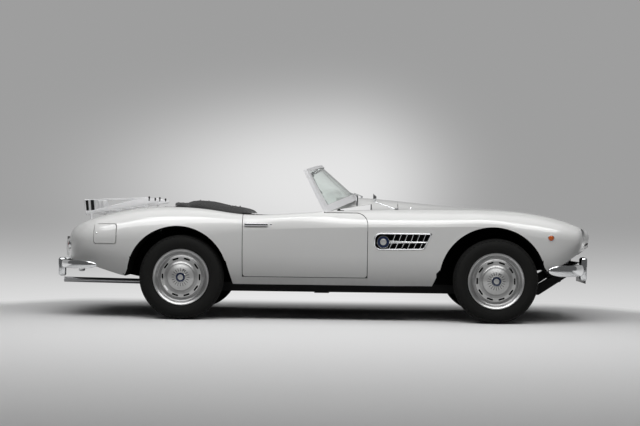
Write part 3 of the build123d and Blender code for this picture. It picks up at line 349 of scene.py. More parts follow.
def make_lens(name, colour):
    """Coloured lamp plastic with a pattern of small prisms."""
    made = Finish(name, colour, 0.12, Coat_Weight=1.0)
    prisms = made.cells(170.0)
    made.set(**{"Base Color": made.mix(prisms, colour, [c * 0.45 for c in colour])})
    made.bump(prisms, 0.0008, 0.5)
    return made


def make_finishes(settings):
    FINISHES.update({
        "paint": make_paint(settings.paint_colour),
        "chrome": make_chrome(),
        "satin_black": make_plain("satin black", (0.010, 0.010, 0.010), 0.6, grain=90.0,
                                  Specular_IOR_Level=0.25),
        "underseal": make_plain("underseal", (0.004, 0.004, 0.004), 0.95, grain=240.0, depth=0.0015,
                                Specular_IOR_Level=0.1),
        # flat black that paints the shade in the vent's recess and in the opening behind the grille
        "dark": make_plain("recess shade black", (0.004, 0.004, 0.004), 0.95, grain=80.0),
        "wheel_silver": make_wheel_paint(),
        "rim_silver": make_plain("rim silver", (0.46, 0.46, 0.46), 0.34, 0.9, grain=240.0, vary=0.1),
        "pale_silver": make_plain("pale silver", (0.80, 0.80, 0.81), 0.34, 0.25, grain=240.0, vary=0.04),
        "tyre": make_tyre(),
        "canvas": make_canvas(),
        "leather": make_leather("seat leather", settings.leather_colour),
        "carpet": make_carpet(),
        "glass": make_glass("clear glass", (0.93, 0.97, 0.95)),
        "lamp_glass": make_glass("ribbed lamp glass", (0.97, 0.98, 1.0), 0.02, ribs=900.0),
        "amber": make_lens("amber lens", (0.85, 0.16, 0.015)),
        "red_lens": make_lens("red lens", (0.45, 0.008, 0.008)),
        "steel": make_plain("machined steel", (0.42, 0.42, 0.43), 0.34, 1.0, grain=200.0, vary=0.12),
        "alloy": make_plain("cast alloy", (0.46, 0.46, 0.45), 0.55, 0.9, grain=160.0, depth=0.0006,
                            vary=0.15),
        "plastic": make_plain("black plastic", (0.012, 0.012, 0.013), 0.38, grain=300.0, vary=0.2),
        "rubber": make_plain("seal rubber", (0.006, 0.006, 0.006), 0.8, grain=220.0, Specular_IOR_Level=0.2),
        "mirror": Finish("mirror glass", (0.93, 0.94, 0.95), 0.02, 1.0),
        "dial": make_plain("dial black", (0.010, 0.010, 0.011), 0.45, grain=200.0, vary=0.2),
        "ivory": make_plain("ivory", (0.78, 0.74, 0.62), 0.4, grain=200.0, vary=0.06),
        "badge_blue": make_plain("enamel blue", (0.012, 0.022, 0.065), 0.16, grain=200.0, Coat_Weight=1.0),
        "plate": make_plain("plate black", (0.014, 0.014, 0.015), 0.35, grain=160.0),
    })


# ---- modelling helpers ------------------------------------------------------
def deselect():
    if bpy.context.object and bpy.context.object.mode != "OBJECT":
        bpy.ops.object.mode_set(mode="OBJECT")
    bpy.ops.object.select_all(action="DESELECT")


def activate(piece):
    deselect()
    piece.select_set(True)
    bpy.context.view_layer.objects.active = piece


def named(name):
    piece = bpy.context.object
    piece.name = name
    piece.data.name = name
    return piece


def settle(piece):
    """Put the piece's place, turn and size into its mesh."""
    activate(piece)
    bpy.ops.object.transform_apply(location=True, rotation=True, scale=True)
    return piece


def edit(piece, *steps):
    """Run edit-mode steps on the whole of a piece."""
    activate(piece)
    bpy.ops.object.mode_set(mode="EDIT")
    bpy.ops.mesh.select_all(action="SELECT")
    for step in steps:
        step()
    bpy.ops.object.mode_set(mode="OBJECT")
    return piece


def merge(distance=1e-5):
    bpy.ops.mesh.remove_doubles(threshold=distance)


def face_out():
    bpy.ops.mesh.normals_make_consistent(inside=False)


def smooth(piece, angle=32.0):
    activate(piece)
    bpy.ops.object.shade_smooth_by_angle(angle=math.radians(angle))
    return piece


def modify(piece, kind, **settings):
    """Add a modifier and apply it."""
    activate(piece)
    modifier = piece.modifiers.new(kind.lower(), kind)
    for key, value in settings.items():
        setattr(modifier, key, value)
    bpy.ops.object.modifier_apply(modifier=modifier.name)
    return piece


def bevel(piece, width, segments=2, angle=35.0):
    return modify(piece, "BEVEL", width=width, segments=segments, limit_method="ANGLE",
                  angle_limit=math.radians(angle), harden_normals=False)


def coat(piece, finish, body, slot, *replaced):
    """Give a piece its finish, its body, its slot and the nodes it stands for."""
    if not piece.data.materials:
        piece.data.materials.append(finish_named(finish))
    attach(piece, body)
    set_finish(piece, slot)
    if replaced:
        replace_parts(piece, *replaced)
    return piece


def paint_faces(piece, finishes, rule):
    """Give each face the finish that rule picks by its middle and normal, or else the first one."""
    piece.data.materials.clear()
    for finish in finishes:
        piece.data.materials.append(finish_named(finish))
    for face in piece.data.polygons:
        face.material_index = rule(face.center, face.normal) if rule else 0
    return piece


def copy_of(piece, name, matrix=None):
    """A copy with its own mesh, moved by matrix."""
    activate(piece)
    bpy.ops.object.duplicate(linked=False)
    copy = named(name)
    copy.parent = None
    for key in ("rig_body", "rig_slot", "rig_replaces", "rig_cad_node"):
        if key in copy:
            del copy[key]
    copy.matrix_world = matrix or Matrix.Identity(4)
    return settle(copy)


def join(name, pieces):
    deselect()
    for piece in pieces:
        piece.select_set(True)
    bpy.context.view_layer.objects.active = pieces[0]
    if len(pieces) > 1:
        bpy.ops.object.join()
    return named(name)


def along(a, b):
    """A turn and move that take the Z axis onto the line from a to b, with its middle."""
    a, b = Vector(a), Vector(b)
    return Matrix.Translation((a + b) / 2) @ (b - a).to_track_quat("Z", "Y").to_matrix().to_4x4()


def bar(name, a, b, radius, sides=16, edge=None):
    """A round bar from a to b with a small chamfer at its ends."""
    deselect()
    length = (Vector(b) - Vector(a)).length
    bpy.ops.mesh.primitive_cylinder_add(vertices=sides, radius=radius, depth=length)
    piece = named(name)
    bevel(piece, min(edge or radius * 0.25, length * 0.2), 1, 60.0)
    piece.matrix_world = along(a, b)
    return smooth(settle(piece), 40.0)


def slab(name, low, high, edge=0.002, segments=2, turn=None):
    """A box with rounded edges, between two corners."""
    deselect()
    low, high = Vector(low), Vector(high)
    bpy.ops.mesh.primitive_cube_add(size=1.0, location=(low + high) / 2)
    piece = named(name)
    piece.scale = high - low
    settle(piece)
    if edge:
        bevel(piece, edge, segments)
    if turn:
        piece.matrix_world = turn
        settle(piece)
    return smooth(piece, 40.0)


def ring_of(name, profile, steps=64, angle=32.0):
    """A round piece about the Y axis: profile is a closed ring of (along, radius) points."""
    deselect()
    bpy.ops.mesh.primitive_circle_add(vertices=len(profile), fill_type="NOTHING")
    piece = named(name)
    for vertex, (out, radius) in zip(piece.data.vertices, profile):
        vertex.co = (0.0, out, radius)

    def spin():
        bpy.ops.mesh.spin(steps=steps, angle=TAU, center=(0, 0, 0), axis=(0, 1, 0))

    def tidy():
        bpy.ops.mesh.delete_loose(use_verts=True, use_edges=True, use_faces=False)
    edit(piece, spin, merge, tidy, face_out)
    return smooth(piece, angle)


def turned(name, profile, centre, axis=(0, -1, 0), steps=48, angle=32.0):
    """A round piece whose profile's first column runs from centre along axis."""
    piece = ring_of(name, profile, steps, angle)
    turn = Vector(axis).to_track_quat("Y", "Z").to_matrix().to_4x4()
    piece.matrix_world = Matrix.Translation(Vector(centre)) @ turn
    return settle(piece)


def tube(name, points, radius, smooth_path=True, closed=False, steps=4, sides=3):
    """A round tube along points."""
    deselect()
    bpy.ops.curve.primitive_nurbs_path_add()
    piece = bpy.context.object
    curve = piece.data
    curve.splines.clear()
    spline = curve.splines.new("NURBS" if smooth_path else "POLY")
    spline.points.add(len(points) - 1)
    for knot, point in zip(spline.points, points):
        knot.co = (*point, 1.0)
    spline.use_cyclic_u = closed
    if smooth_path:
        spline.use_endpoint_u = not closed
        spline.order_u = 3
        spline.resolution_u = steps
    curve.bevel_depth = radius
    curve.bevel_resolution = sides
    curve.use_fill_caps = not closed
    bpy.ops.object.convert(target="MESH")
    piece = named(name)
    edit(piece, merge, face_out)
    return smooth(settle(piece), 50.0)


def plate(name, outline, push, edge=0.0, segments=2):
    """A flat outline of 3-D points, pushed by a vector."""
    deselect()
    bpy.ops.mesh.primitive_circle_add(vertices=len(outline), fill_type="NGON")
    piece = named(name)
    for vertex, point in zip(piece.data.vertices, outline):
        vertex.co = point

    def pull():
        bpy.ops.mesh.extrude_region_move(TRANSFORM_OT_translate={"value": tuple(push)})
    edit(piece, pull, face_out)
    if edge:
        bevel(piece, edge, segments)
    return smooth(piece, 40.0)


def rounded(width, height, radius, steps=4):
    """Points of a rectangle with round corners, about the origin."""
    points = []
    for i, (sx, sy) in enumerate(((1, 1), (-1, 1), (-1, -1), (1, -1))):
        cx, cy = sx * (width / 2 - radius), sy * (height / 2 - radius)
        for k in range(steps + 1):
            a = math.pi / 2 * (i + k / steps)
            points.append((cx + radius * math.cos(a), cy + radius * math.sin(a)))
    return points


def cut(piece, cutters):
    """Take cutters, joined, out of a piece."""
    tool = join("cutter", cutters)
    modify(piece, "BOOLEAN", operation="DIFFERENCE", solver="EXACT", object=tool)
    bpy.data.objects.remove(tool)
    return piece


# ---- body panels ------------------------------------------------------------
def panel_copy(node, name):
    """A merged copy of a node that keeps the shading of each face's corners."""
    copy = copy_of(frame["nodes"][node], name)
    kept = copy.data.attributes.new("kept_normal", "FLOAT_VECTOR", "CORNER")
    kept.data.foreach_set("vector", [c for normal in copy.data.corner_normals for c in normal.vector])
    edit(copy, merge)
    kept = copy.data.attributes["kept_normal"]
    copy.data.normals_split_custom_set([Vector(corner.vector) for corner in kept.data])
    copy.data.attributes.remove(copy.data.attributes["kept_normal"])
    return copy


def in_foot(c, foot):
    """Whether a face's middle lies in the open lower part of a wheelhouse, or on its wall."""
    low, high = min(x for x, z in foot), max(x for x, z in foot)
    if not low - 0.004 < c.x < high + 0.004 or c.z > foot[2][1] + 0.004:
        return False
    rear = low + max(0.0, c.z - foot[1][1]) / (foot[2][1] - foot[1][1]) * (foot[2][0] - foot[1][0])
    front = high - max(0.0, c.z - foot[4][1]) / (foot[3][1] - foot[4][1]) * (foot[4][0] - foot[3][0])
    return rear - 0.004 < c.x < front + 0.004


def in_arch(c, n):
    """Whether a face belongs to a wheelhouse: inside the arch, or looking in at its axle."""
    if abs(c.y) < 0.445:
        return False
    for x, z, r in ARCHES:
        away = math.hypot(c.x - x, c.z - z)
        if away < r + 0.004 and (abs(c.y) < ARCH_LIP_Y or (c.x - x) * n.x + (c.z - z) * n.z < -0.4 * away):
            return True
    return abs(c.y) < ARCH_LIP_Y and any(in_foot(c, foot) for foot in ARCH_FEET)


def within(a, b, corners):
    (a0, b0), (a1, b1) = corners
    return a0 < a < a1 and b0 < b < b1


def front_rule(c, n):
    if in_arch(c, n):
        return 1
    # the vent's recess and the opening behind the grille take flat black: painted shade
    if within(c.x, c.z, VENT_BOX) and abs(c.y) < 0.79:
        return 2
    if within(c.y, c.z, GRILLE_BOX) and c.x < 2.165:
        return 2
    if n.z < -0.5 and c.z < 0.66:
        return 1
    return 3 if c.x < 0.42 and abs(c.y) < 0.70 and n.z < 0.2 else 0


def rear_rule(c, n):
    if in_arch(c, n) or n.z < -0.5 and c.z < 0.66:
        return 1
    if c.x < TAIL_X and n.x < -0.12:
        return 0
    if abs(c.y) < 0.44 and c.x < -0.66 and c.z < 0.86:
        return 2
    return 3 if c.x > -0.70 and abs(c.y) < 0.70 else 0


def door_rule(c, n):
    return 1 if abs(c.y) < 0.7035 else 0


def sill_rule(c, n):
    if abs(c.y) < 0.603 or n.z > 0.5:
        return 2
    return 1 if n.z < -0.5 else 0


def floor_rule(c, n):
    return 1 if n.z < -0.3 or c.z < 0.291 else 0


PANELS = (
    # node, name, body, finishes, rule
    ("body_front", "front_shell", "body", ("paint", "underseal", "dark", "leather"), front_rule),
    ("body_rear", "rear_shell", "body", ("paint", "underseal", "carpet", "leather"), rear_rule),
    ("bonnet", "bonnet_panel", "bonnet", ("paint",), None),
    ("boot_lid", "boot_lid_panel", "boot_lid", ("paint",), None),
    ("door_right", "door_panel_right", "door_right", ("paint", "leather"), door_rule),
    ("door_left", "door_panel_left", "door_left", ("paint", "leather"), door_rule),
    ("sills", "sill_panels", "body", ("paint", "underseal", "carpet"), sill_rule),
)


def make_panels():
    for node, name, body, finishes, rule in PANELS:
        copy = panel_copy(node, name)
        paint_faces(copy, finishes, rule)
        coat(copy, finishes[0], body, "white_paint", node)
    floor = panel_copy("floor_pan", "cabin_floor")
    paint_faces(floor, ("carpet", "underseal"), floor_rule)
    coat(floor, "carpet", "body", "chassis_black", "floor_pan")


NODE_FINISHES = {
    "hinge_pins": "steel", "chassis_frame": "satin_black", "door_handle_left": "chrome",
    "door_handle_right": "chrome", "knuckle_left": "satin_black", "knuckle_right": "satin_black",
    "front_suspension": "satin_black", "rear_axle": "satin_black", "engine_block": "alloy",
    "radiator": "satin_black", "drive_line": "alloy", "exhaust": "steel", "track_rod": "steel",
    "steering_rack": "alloy", "windscreen_frame": "chrome", "windscreen_glass": "glass",
    "steering_wheel": "ivory", "steering_column": "plastic", "dashboard": "paint", "controls": "plastic",
    "front_bumper": "chrome", "rear_bumper": "chrome", "bumper_irons": "satin_black", "grille": "chrome",
    "lamps": "lamp_glass", "side_vents": "chrome", "luggage_rack": "chrome", "mirrors": "chrome",
    "wipers": "chrome", "seats": "leather", "soft_top": "canvas",
}


def dress_nodes():
    """Finishes of the nodes that stay as they are."""
    for node, finish in NODE_FINISHES.items():
        materials = frame["nodes"][node].data.materials
        materials.clear()
        materials.append(finish_named(finish))
    for node in frame["nodes"]:
        if node.startswith("tyre_") or node.startswith("wheel_"):
            materials = frame["nodes"][node].data.materials
            materials.clear()
            materials.append(finish_named("tyre" if node.startswith("tyre_") else "wheel_silver"))


# ---- wheels -----------------------------------------------------------------
SLOT_COUNT = 10
SLOT_R = 0.147
SLOT_SIZE = (0.050, 0.0140)


def make_disc():
    """Pressed disc and rim, with its slots cut through."""
    profile = [(70, 203), (70, 222), (74, 222), (76, 216), (72, 207), (66, 200), (57, 196), (53, 192),
               (47, 184), (46, 178), (49, 172), (53, 165), (56, 157), (57, 146), (59, 134), (62, 124),
               (66, 116), (69, 111), (68, 106), (65, 101), (67, 94), (72, 82), (77, 68), (81, 54),
               (82, 46), (74, 44), (60, 30), (40, 25), (20, 25), (14, 60), (30, 100), (44, 130),
               (46, 150), (40, 165), (36, 178), (20, 186), (-30, 186), (-60, 196), (-70, 203),
               (-74, 214), (-74, 222), (-70, 222), (-69, 204), (-58, 201), (-44, 191), (30, 191),
               (46, 203)]
    disc = ring_of("disc", [(a * MM, r * MM) for a, r in profile], 80, 28.0)
    cutters = []
    for i in range(SLOT_COUNT):
        deselect()
        bpy.ops.mesh.primitive_cube_add(size=1.0)
        cutter = named("slot")
        cutter.scale = (SLOT_SIZE[0], 0.08, SLOT_SIZE[1])
        settle(cutter)
        bevel(cutter, 0.005, 3)
        turn = Matrix.Rotation(TAU * (i + 0.5) / SLOT_COUNT, 4, "Y")
        cutter.matrix_world = turn @ Matrix.Translation((0, 0.05, SLOT_R))
        cutters.append(settle(cutter))
    cut(disc, cutters)
    return smooth(disc, 28.0)


def make_trim_ring():
    profile = [(74, 222), (77, 220), (77.5, 214), (73, 207), (67.5, 200), (59, 195.5), (54.5, 191),
               (52, 191), (56, 197), (65, 202), (70, 208), (73, 215), (72, 221)]
    return ring_of("trim_ring", [(a * MM, r * MM) for a, r in profile], 96)


def make_hub_cap():
    """Domed cap, with a ring of short dark ribs and a key hole shown as a black plug of painted shading."""
    dome = [(60, 0), (60, 70), (70, 108), (74, 108), (76, 102), (80, 92), (86, 78), (91, 62), (94, 50),
            (95, 44), (97, 42.5), (99, 41), (100, 38), (101, 20), (101.5, 0)]
    cap = ring_of("cap_dome", [(a * MM, r * MM) for a, r in dome], 64)
    ribs = []
    for i in range(20):
        rib = bar("rib", (0, 0.0948, 0.047), (0, 0.0888, 0.071), 0.0019, 8)
        rib.matrix_world = Matrix.Rotation(TAU * i / 20, 4, "Y")
        ribs.append(settle(rib))
    # the key hole is a black plug: painted shade standing for the hole
    ribs.append(bar("key_hole_shade", (-0.027, 0.0860, 0.057), (-0.027, 0.0935, 0.057), 0.0055, 16))
    return cap, join("cap_ribs", ribs)


def make_badge(radius, thick):
    """Plain round badge: a dark ring round a silver centre with a bright rim."""
    k = radius
    rim = ring_of("badge_rim", [(0, 0.9 * k), (0, k), (thick, k), (thick * 1.5, 0.97 * k),
                                (thick * 1.5, 0.9 * k)], 48)
    band = ring_of("badge_band", [(0, 0), (0, 0.9 * k), (thick, 0.9 * k), (thick * 1.1, 0.55 * k),
                                  (thick * 1.1, 0)], 48)
    centre = ring_of("badge_centre", [(0, 0), (0, 0.5 * k), (thick * 1.3, 0.5 * k), (thick * 1.7, 0.44 * k),
                                      (thick * 1.9, 0)], 48)
    for piece, finish in ((rim, "chrome"), (band, "badge_blue"), (centre, "wheel_silver")):
        piece.data.materials.append(finish_named(finish))
    return join("badge", [rim, band, centre])


def make_tyre_piece():
    """Carcass with sidewall ribs, and a tread of zigzag blocks between grooves."""
    half = [(0, 328), (10, 328), (10.5, 335.4), (28, 334.2), (28.5, 327), (34, 326.5), (34.5, 333.4),
            (52, 329.5), (56, 325), (62, 322), (70, 315), (76, 305), (80, 292), (82.5, 279), (82.6, 268),
            (81.2, 262), (81.5, 256), (80, 249), (77.2, 243), (77.4, 238), (74, 230), (71, 224.5),
            (70.2, 221.5), (69.6, 204), (56, 204), (40, 214)]
    ring = half + [(-a, r) for a, r in reversed(half) if a > 0]
    tyre = ring_of("tyre_piece", [(a * MM, r * MM) for a, r in ring], 96, 30.0)
    blocks = []
    for row, (y, shift) in enumerate(((-0.0635, 0.0), (0.0635, 0.5))):
        for i in range(60):
            block = slab("tread", (-0.0105, y - 0.0085, 0.312), (0.0105, y + 0.0085, 0.3235), 0.0015, 1)
            lean = Matrix.Rotation(math.radians(-30 if y > 0 else 30), 4, "X")
            place = Matrix.Translation((0, y, 0.3175))
            block.matrix_world = (Matrix.Rotation(TAU * (i + shift) / 60, 4, "Y")
                                  @ place @ lean @ place.inverted())
            blocks.append(block)
    tread = join("tread_blocks", blocks)
    settle(tread)
    return join("tyre_piece", [tyre, tread])


def make_wheels():
    disc, ring = make_disc(), make_trim_ring()
    cap, ribs = make_hub_cap()
    tyre = make_tyre_piece()
    badge = make_badge(0.041, 0.0022)
    badge.matrix_world = Matrix.Translation((0, 0.0985, 0))
    settle(badge)
    drum_line = [(-40, 25), (-40, 138), (-34, 146), (-28, 146), (-24, 142), (-18, 146), (-12, 142),
                 (-6, 146), (0, 142), (6, 146), (12, 140), (14, 25)]
    drum = ring_of("brake_drum", [(a * MM, r * MM) for a, r in drum_line], 64)
    masters = ((disc, "wheel_silver", "disc"), (ring, "rim_silver", "trim_ring"),
               (cap, "wheel_silver", "hub_cap"), (ribs, "plastic", "cap_ribs"),
               (badge, "chrome", "cap_badge"), (drum, "satin_black", "brake_drum"))
    for end in ENDS:
        for side_name, side in SIDES:
            body = WHEEL_BODY[(end, side_name)]
            place = Matrix.Translation((axle_x(end), side * TRACK_HALF[end], HUB_Z))
            # the pieces point along +Y, so the right side's are turned about the upright axis
            turn = place if side > 0 else place @ Matrix.Rotation(math.pi, 4, "Z")
            for master, finish, label in masters:
                copy = copy_of(master, f"{label}_{end}_{side_name}", turn)
                node = [f"wheel_{end}_{side_name}"] if label == "disc" else []
                coat(copy, finish, body, "wheel_silver", *node)
            copy = copy_of(tyre, f"tyre_{end}_{side_name}_piece", turn)
            coat(copy, "tyre", body, "tyre_rubber", f"tyre_{end}_{side_name}")
    for master in [m[0] for m in masters] + [tyre]:
        bpy.data.objects.remove(master)


# ---- places on the skin -----------------------------------------------------
TREES = {}


def skin(node, start, way):
    """Where a line from start along way first meets a node."""
    if node not in TREES:
        mesh = frame["nodes"][node].data
        TREES[node] = BVHTree.FromPolygons([v.co for v in mesh.vertices],
                                           [p.vertices for p in mesh.polygons])
    place = TREES[node].ray_cast(Vector(start), Vector(way))[0]
    if place is None:
        raise RuntimeError(f"no skin of {node} along {tuple(way)} from {tuple(start)}")
    return place


def side_skin(node, x, z, side):
    return skin(node, (x, side * 2.0, z), (0, -side, 0))


def top_skin(node, x, y):
    return skin(node, (x, y, 2.0), (0, 0, -1))


# ---- fuel flap ------------------------------------------------------------------
FLAP_X = (-1.798, -1.617)
FLAP_Z = (0.592, 0.749)
FLAP_CORNER_R = 0.020
FLAP_GAP = 0.003
FLAP_REACH = 0.006         # how far outside the opening the skin is read


def make_flap():
    """The filler flap: a panel stretched between the skin at the four sides of its opening."""
    (x0, x1), (z0, z1) = [(low - FLAP_REACH, high + FLAP_REACH) for low, high in (FLAP_X, FLAP_Z)]

    def rim(x, z):
        return side_skin("body_rear", x, z, -1).y

    corners = rim(x0, z0), rim(x1, z0), rim(x0, z1), rim(x1, z1)
    deselect()
    bpy.ops.mesh.primitive_grid_add(x_subdivisions=48, y_subdivisions=42, size=2.0)
    piece = named("fuel_flap_panel")
    half_x = (FLAP_X[1] - FLAP_X[0]) / 2 - FLAP_GAP
    half_z = (FLAP_Z[1] - FLAP_Z[0]) / 2 - FLAP_GAP
    for vertex in piece.data.vertices:
        a, b = vertex.co.x * half_x, vertex.co.y * half_z
        over_a, over_b = abs(a) - half_x + FLAP_CORNER_R, abs(b) - half_z + FLAP_CORNER_R
        away = math.hypot(over_a, over_b)
        if over_a > 0 and over_b > 0 and away > FLAP_CORNER_R:
            a -= math.copysign(over_a * (1 - FLAP_CORNER_R / away), a)
            b -= math.copysign(over_b * (1 - FLAP_CORNER_R / away), b)
        x, z = sum(FLAP_X) / 2 + a, sum(FLAP_Z) / 2 + b
        u, v = (x - x0) / (x1 - x0), (z - z0) / (z1 - z0)
        flat = ((corners[0] * (1 - u) + corners[1] * u) * (1 - v)
                + (corners[2] * (1 - u) + corners[3] * u) * v)
        y = rim(x0, z) * (1 - u) + rim(x1, z) * u + rim(x, z0) * (1 - v) + rim(x, z1) * v - flat
        vertex.co = (x, y, z)
    modify(piece, "SOLIDIFY", thickness=0.003, offset=1.0)
    edit(piece, face_out)
    bevel(piece, 0.0008, 1, 50.0)
    smooth(piece, 40.0)
    coat(piece, "paint", "fuel_flap", "white_paint", "fuel_flap")


# ---- side vents ---------------------------------------------------------------
VENT_X = (0.413, 0.808, 0.872)       # rear, lower front, upper front
VENT_Z = (0.568, 0.705)
VENT_BAR_COUNT = 6
BADGE_X, BADGE_Z, BADGE_R = 0.486, 0.634, 0.050


def vent_path(inset):
    """The vent's outline: round at its rear, slanted at its front."""
    low, high = VENT_Z[0] + inset, VENT_Z[1] - inset
    rear, r = VENT_X[0] + inset, 0.055 - inset
    points = []
    for k in range(7):
        a = math.radians(90 + 15 * k)
        points.append((rear + r + r * math.cos(a), high - r + r * math.sin(a)))
    for k in range(7):
        a = math.radians(180 + 15 * k)
        points.append((rear + r + r * math.cos(a), low + r + r * math.sin(a)))
    front_low, front_high = VENT_X[1] - inset * 0.9, VENT_X[2] - inset * 1.6
    points += [(front_low - 0.02, low + 0.005), (front_low - 0.004, low + 0.008),
               (front_low + 0.006, low + 0.02), (front_high - 0.006, high - 0.012),
               (front_high - 0.006, high - 0.003), (front_high - 0.016, high)]
    return points


def make_vents():
    for side_name, side in SIDES:
        def lie(x, z, proud):
            place = skin_line(x, z)
            return (x, side * (abs(place) + proud), z)

        def skin_line(x, z):
            """The skin's Y, read above and below the opening and leant between them."""
            high = side_skin("body_front", x, VENT_Z[1] + 0.012, side).y
            low = side_skin("body_front", x, VENT_Z[0] - 0.012, side).y
            share = (z - VENT_Z[0]) / (VENT_Z[1] - VENT_Z[0])
            return low + (high - low) * share

        rim = tube("vent_rim", [lie(x, z, -0.001) for x, z in vent_path(0.0055)], 0.0058,
                   False, True, sides=4)
        bars = []
        for i in range(VENT_BAR_COUNT):
            x = VENT_X[0] + 0.118 + i * 0.0475
            foot, head = (x, VENT_Z[0] + 0.008), (x + 0.050, VENT_Z[1] - 0.008)
            for part in ((foot, (x + 0.024, BADGE_Z - 0.006)), ((x + 0.029, BADGE_Z + 0.006), head)):
                a, b = lie(*part[0], -0.012), lie(*part[1], -0.012)
                bars.append(bar("vent_bar", a, b, 0.0036, 10))
        spear = [lie(BADGE_X + 0.03 + 0.035 * k, BADGE_Z, -0.002) for k in range(10)]
        for rise in (-0.007, 0.007):
            bars.append(tube("vent_spear", [(x, y, z + rise * (1 - k / 11))
                                            for k, (x, y, z) in enumerate(spear)], 0.0034, False))
        bright = join(f"side_vent_{side_name}", [rim] + bars)
        coat(bright, "chrome", "body", "bright_trim", "side_vents")
        badge = make_badge(BADGE_R, 0.004)
        centre = Vector(lie(BADGE_X, BADGE_Z, 0.0))
        badge.matrix_world = (Matrix.Translation(centre - Vector((0, side * 0.002, 0)))
                              @ (Matrix.Identity(4) if side > 0 else Matrix.Rotation(math.pi, 4, "Z")))
        settle(badge)
        badge.name = f"side_badge_{side_name}"
        coat(badge, "chrome", "body", "bright_trim")
        # the stalk holding the badge takes the same flat black as the recess's painted shade
        stalk = bar(f"badge_stalk_{side_name}", centre - Vector((0, side * 0.085, 0)),
                    centre - Vector((0, side * 0.001, 0)), 0.018, 20)
        coat(stalk, "dark", "body", "bright_trim")


# ---- lamps ----------------------------------------------------------------------
HEAD = (0.618, 0.668, 0.088)         # Y, Z and radius
HEAD_BACK_X, HEAD_RIM_X, HEAD_TIP_X = 1.996, 2.050, 2.066
MARKER_X, MARKER_Z, MARKER_R = 1.798, 0.679, 0.0225
TAIL_Y, TAIL_Z, TAIL_R = 0.560, 0.577, 0.036
TAIL_ROOT_X, TAIL_TIP_X = -2.0, -2.044


def make_lamps():
    forward, backward = (1, 0, 0), (-1, 0, 0)
    depth = HEAD_RIM_X - HEAD_BACK_X
    for side_name, side in SIDES:
        y, z, r = side * HEAD[0], HEAD[1], HEAD[2]
        back = (HEAD_BACK_X, y, z)
        rim = turned(f"headlamp_rim_{side_name}", [
            (0, r - 0.001), (depth - 0.004, r - 0.0005), (depth + 0.003, r - 0.001),
            (depth + 0.006, r - 0.005), (depth + 0.005, r - 0.010), (depth, r - 0.012),
            (depth - 0.006, r - 0.012), (0, r - 0.006)],
            back, forward, 72)
        coat(rim, "chrome", "body", "lamp_glass", "lamps")
        bowl = turned(f"headlamp_bowl_{side_name}", [
            (0.001, 0), (0.001, 0.02), (0.012, 0.045), (0.030, 0.063), (depth - 0.004, r - 0.011),
            (depth - 0.004, r - 0.007), (0.0, r - 0.007), (0.0, 0)], back, forward, 64)
        coat(bowl, "mirror", "body", "lamp_glass")
        dome = [(depth - 0.004 + 0.018 * math.cos(a), (r - 0.010) * math.sin(a))
                for a in [math.radians(90 * k / 8) for k in range(9)]]
        inner = [(out - 0.003, radius - 0.001) for out, radius in reversed(dome)]
        inner[-1] = (inner[-1][0], 0.0)
        lens = turned(f"headlamp_lens_{side_name}", dome + inner, back, forward, 64)
        coat(lens, "lamp_glass", "body", "lamp_glass")
        bulb = turned(f"headlamp_bulb_{side_name}", [
            (0.002, 0), (0.002, 0.009), (0.02, 0.009), (0.028, 0.006), (0.031, 0)], back, forward, 24)
        coat(bulb, "ivory", "body", "lamp_glass")
        place = side_skin("body_front", MARKER_X, MARKER_Z, side)
        outward = (0, side, 0)
        base = turned(f"marker_base_{side_name}", [
            (-0.004, 0), (-0.004, MARKER_R + 0.002), (0.001, MARKER_R + 0.003), (0.004, MARKER_R),
            (0.004, 0)], place, outward, 40)
        coat(base, "chrome", "body", "lamp_glass")
        glass = turned(f"marker_lens_{side_name}", [
            (0.0, 0), (0.0, MARKER_R - 0.002), (0.006, MARKER_R - 0.002), (0.009, MARKER_R - 0.008),
            (0.0105, 0.006), (0.0107, 0)], place, outward, 40)
        coat(glass, "amber", "body", "lamp_glass")
        root = (TAIL_ROOT_X, side * TAIL_Y, TAIL_Z)
        run = TAIL_ROOT_X - TAIL_TIP_X
        ring = turned(f"tail_lamp_ring_{side_name}", [
            (0, 0.01), (0, TAIL_R), (run - 0.016, TAIL_R), (run - 0.012, TAIL_R - 0.002),
            (run - 0.012, TAIL_R - 0.007), (run - 0.02, TAIL_R - 0.008), (run - 0.02, 0.01)],
            root, backward, 48)
        coat(ring, "chrome", "body", "lamp_glass")
        red = turned(f"tail_lamp_lens_{side_name}", [
            (run - 0.02, 0), (run - 0.02, TAIL_R - 0.008), (run - 0.010, TAIL_R - 0.008),
            (run - 0.005, TAIL_R - 0.014), (run - 0.001, 0.010), (run, 0)], root, backward, 48)
        coat(red, "red_lens", "body", "lamp_glass")


# ---- seats ----------------------------------------------------------------------
SEAT_Y = (0.155, 0.585)
SEAT_PLEATS = 7


def padded_block(name, low, high, crown, pleat_axis, pleats, face):
    """A cushion: a subdivided block with a crowned face, pulled-in sides and sewn pleats."""
    deselect()
    bpy.ops.mesh.primitive_cube_add(size=1.0)
    piece = named(name)
    edit(piece, lambda: bpy.ops.mesh.subdivide(number_cuts=23))
    low, high = Vector(low), Vector(high)
    middle, half = (low + high) / 2, (high - low) / 2
    for vertex in piece.data.vertices:
        u = [c * 2 for c in vertex.co]
        edge = max(abs(u[i]) for i in range(3) if i != face[0])
        rim = math.sqrt(max(0.0, 1 - edge ** 4))
        point = Vector(middle[i] + half[i] * u[i] for i in range(3))
        for i in range(3):
            if i != face[0]:
                point[i] -= half[i] * u[i] * 0.035 * (1 - abs(u[face[0]]) * 0.6)
        inward = 0.0
        if u[face[0]] * face[1] > 0.9:
            inside = abs(u[pleat_axis]) < 0.80 and edge < 0.86
            wave = abs(math.sin(math.pi * pleats * (u[pleat_axis] / 0.80 + 1) / 2)) if inside else 0.0
            inward = (1 - rim) * crown - (0.010 * wave ** 0.5 if inside else 0.0) + (0.008 if inside else 0.0)
        point[face[0]] -= face[1] * inward * max(0.0, u[face[0]] * face[1])
        vertex.co = point
    bevel(piece, 0.010, 3, 60.0)
    return smooth(piece, 60.0)


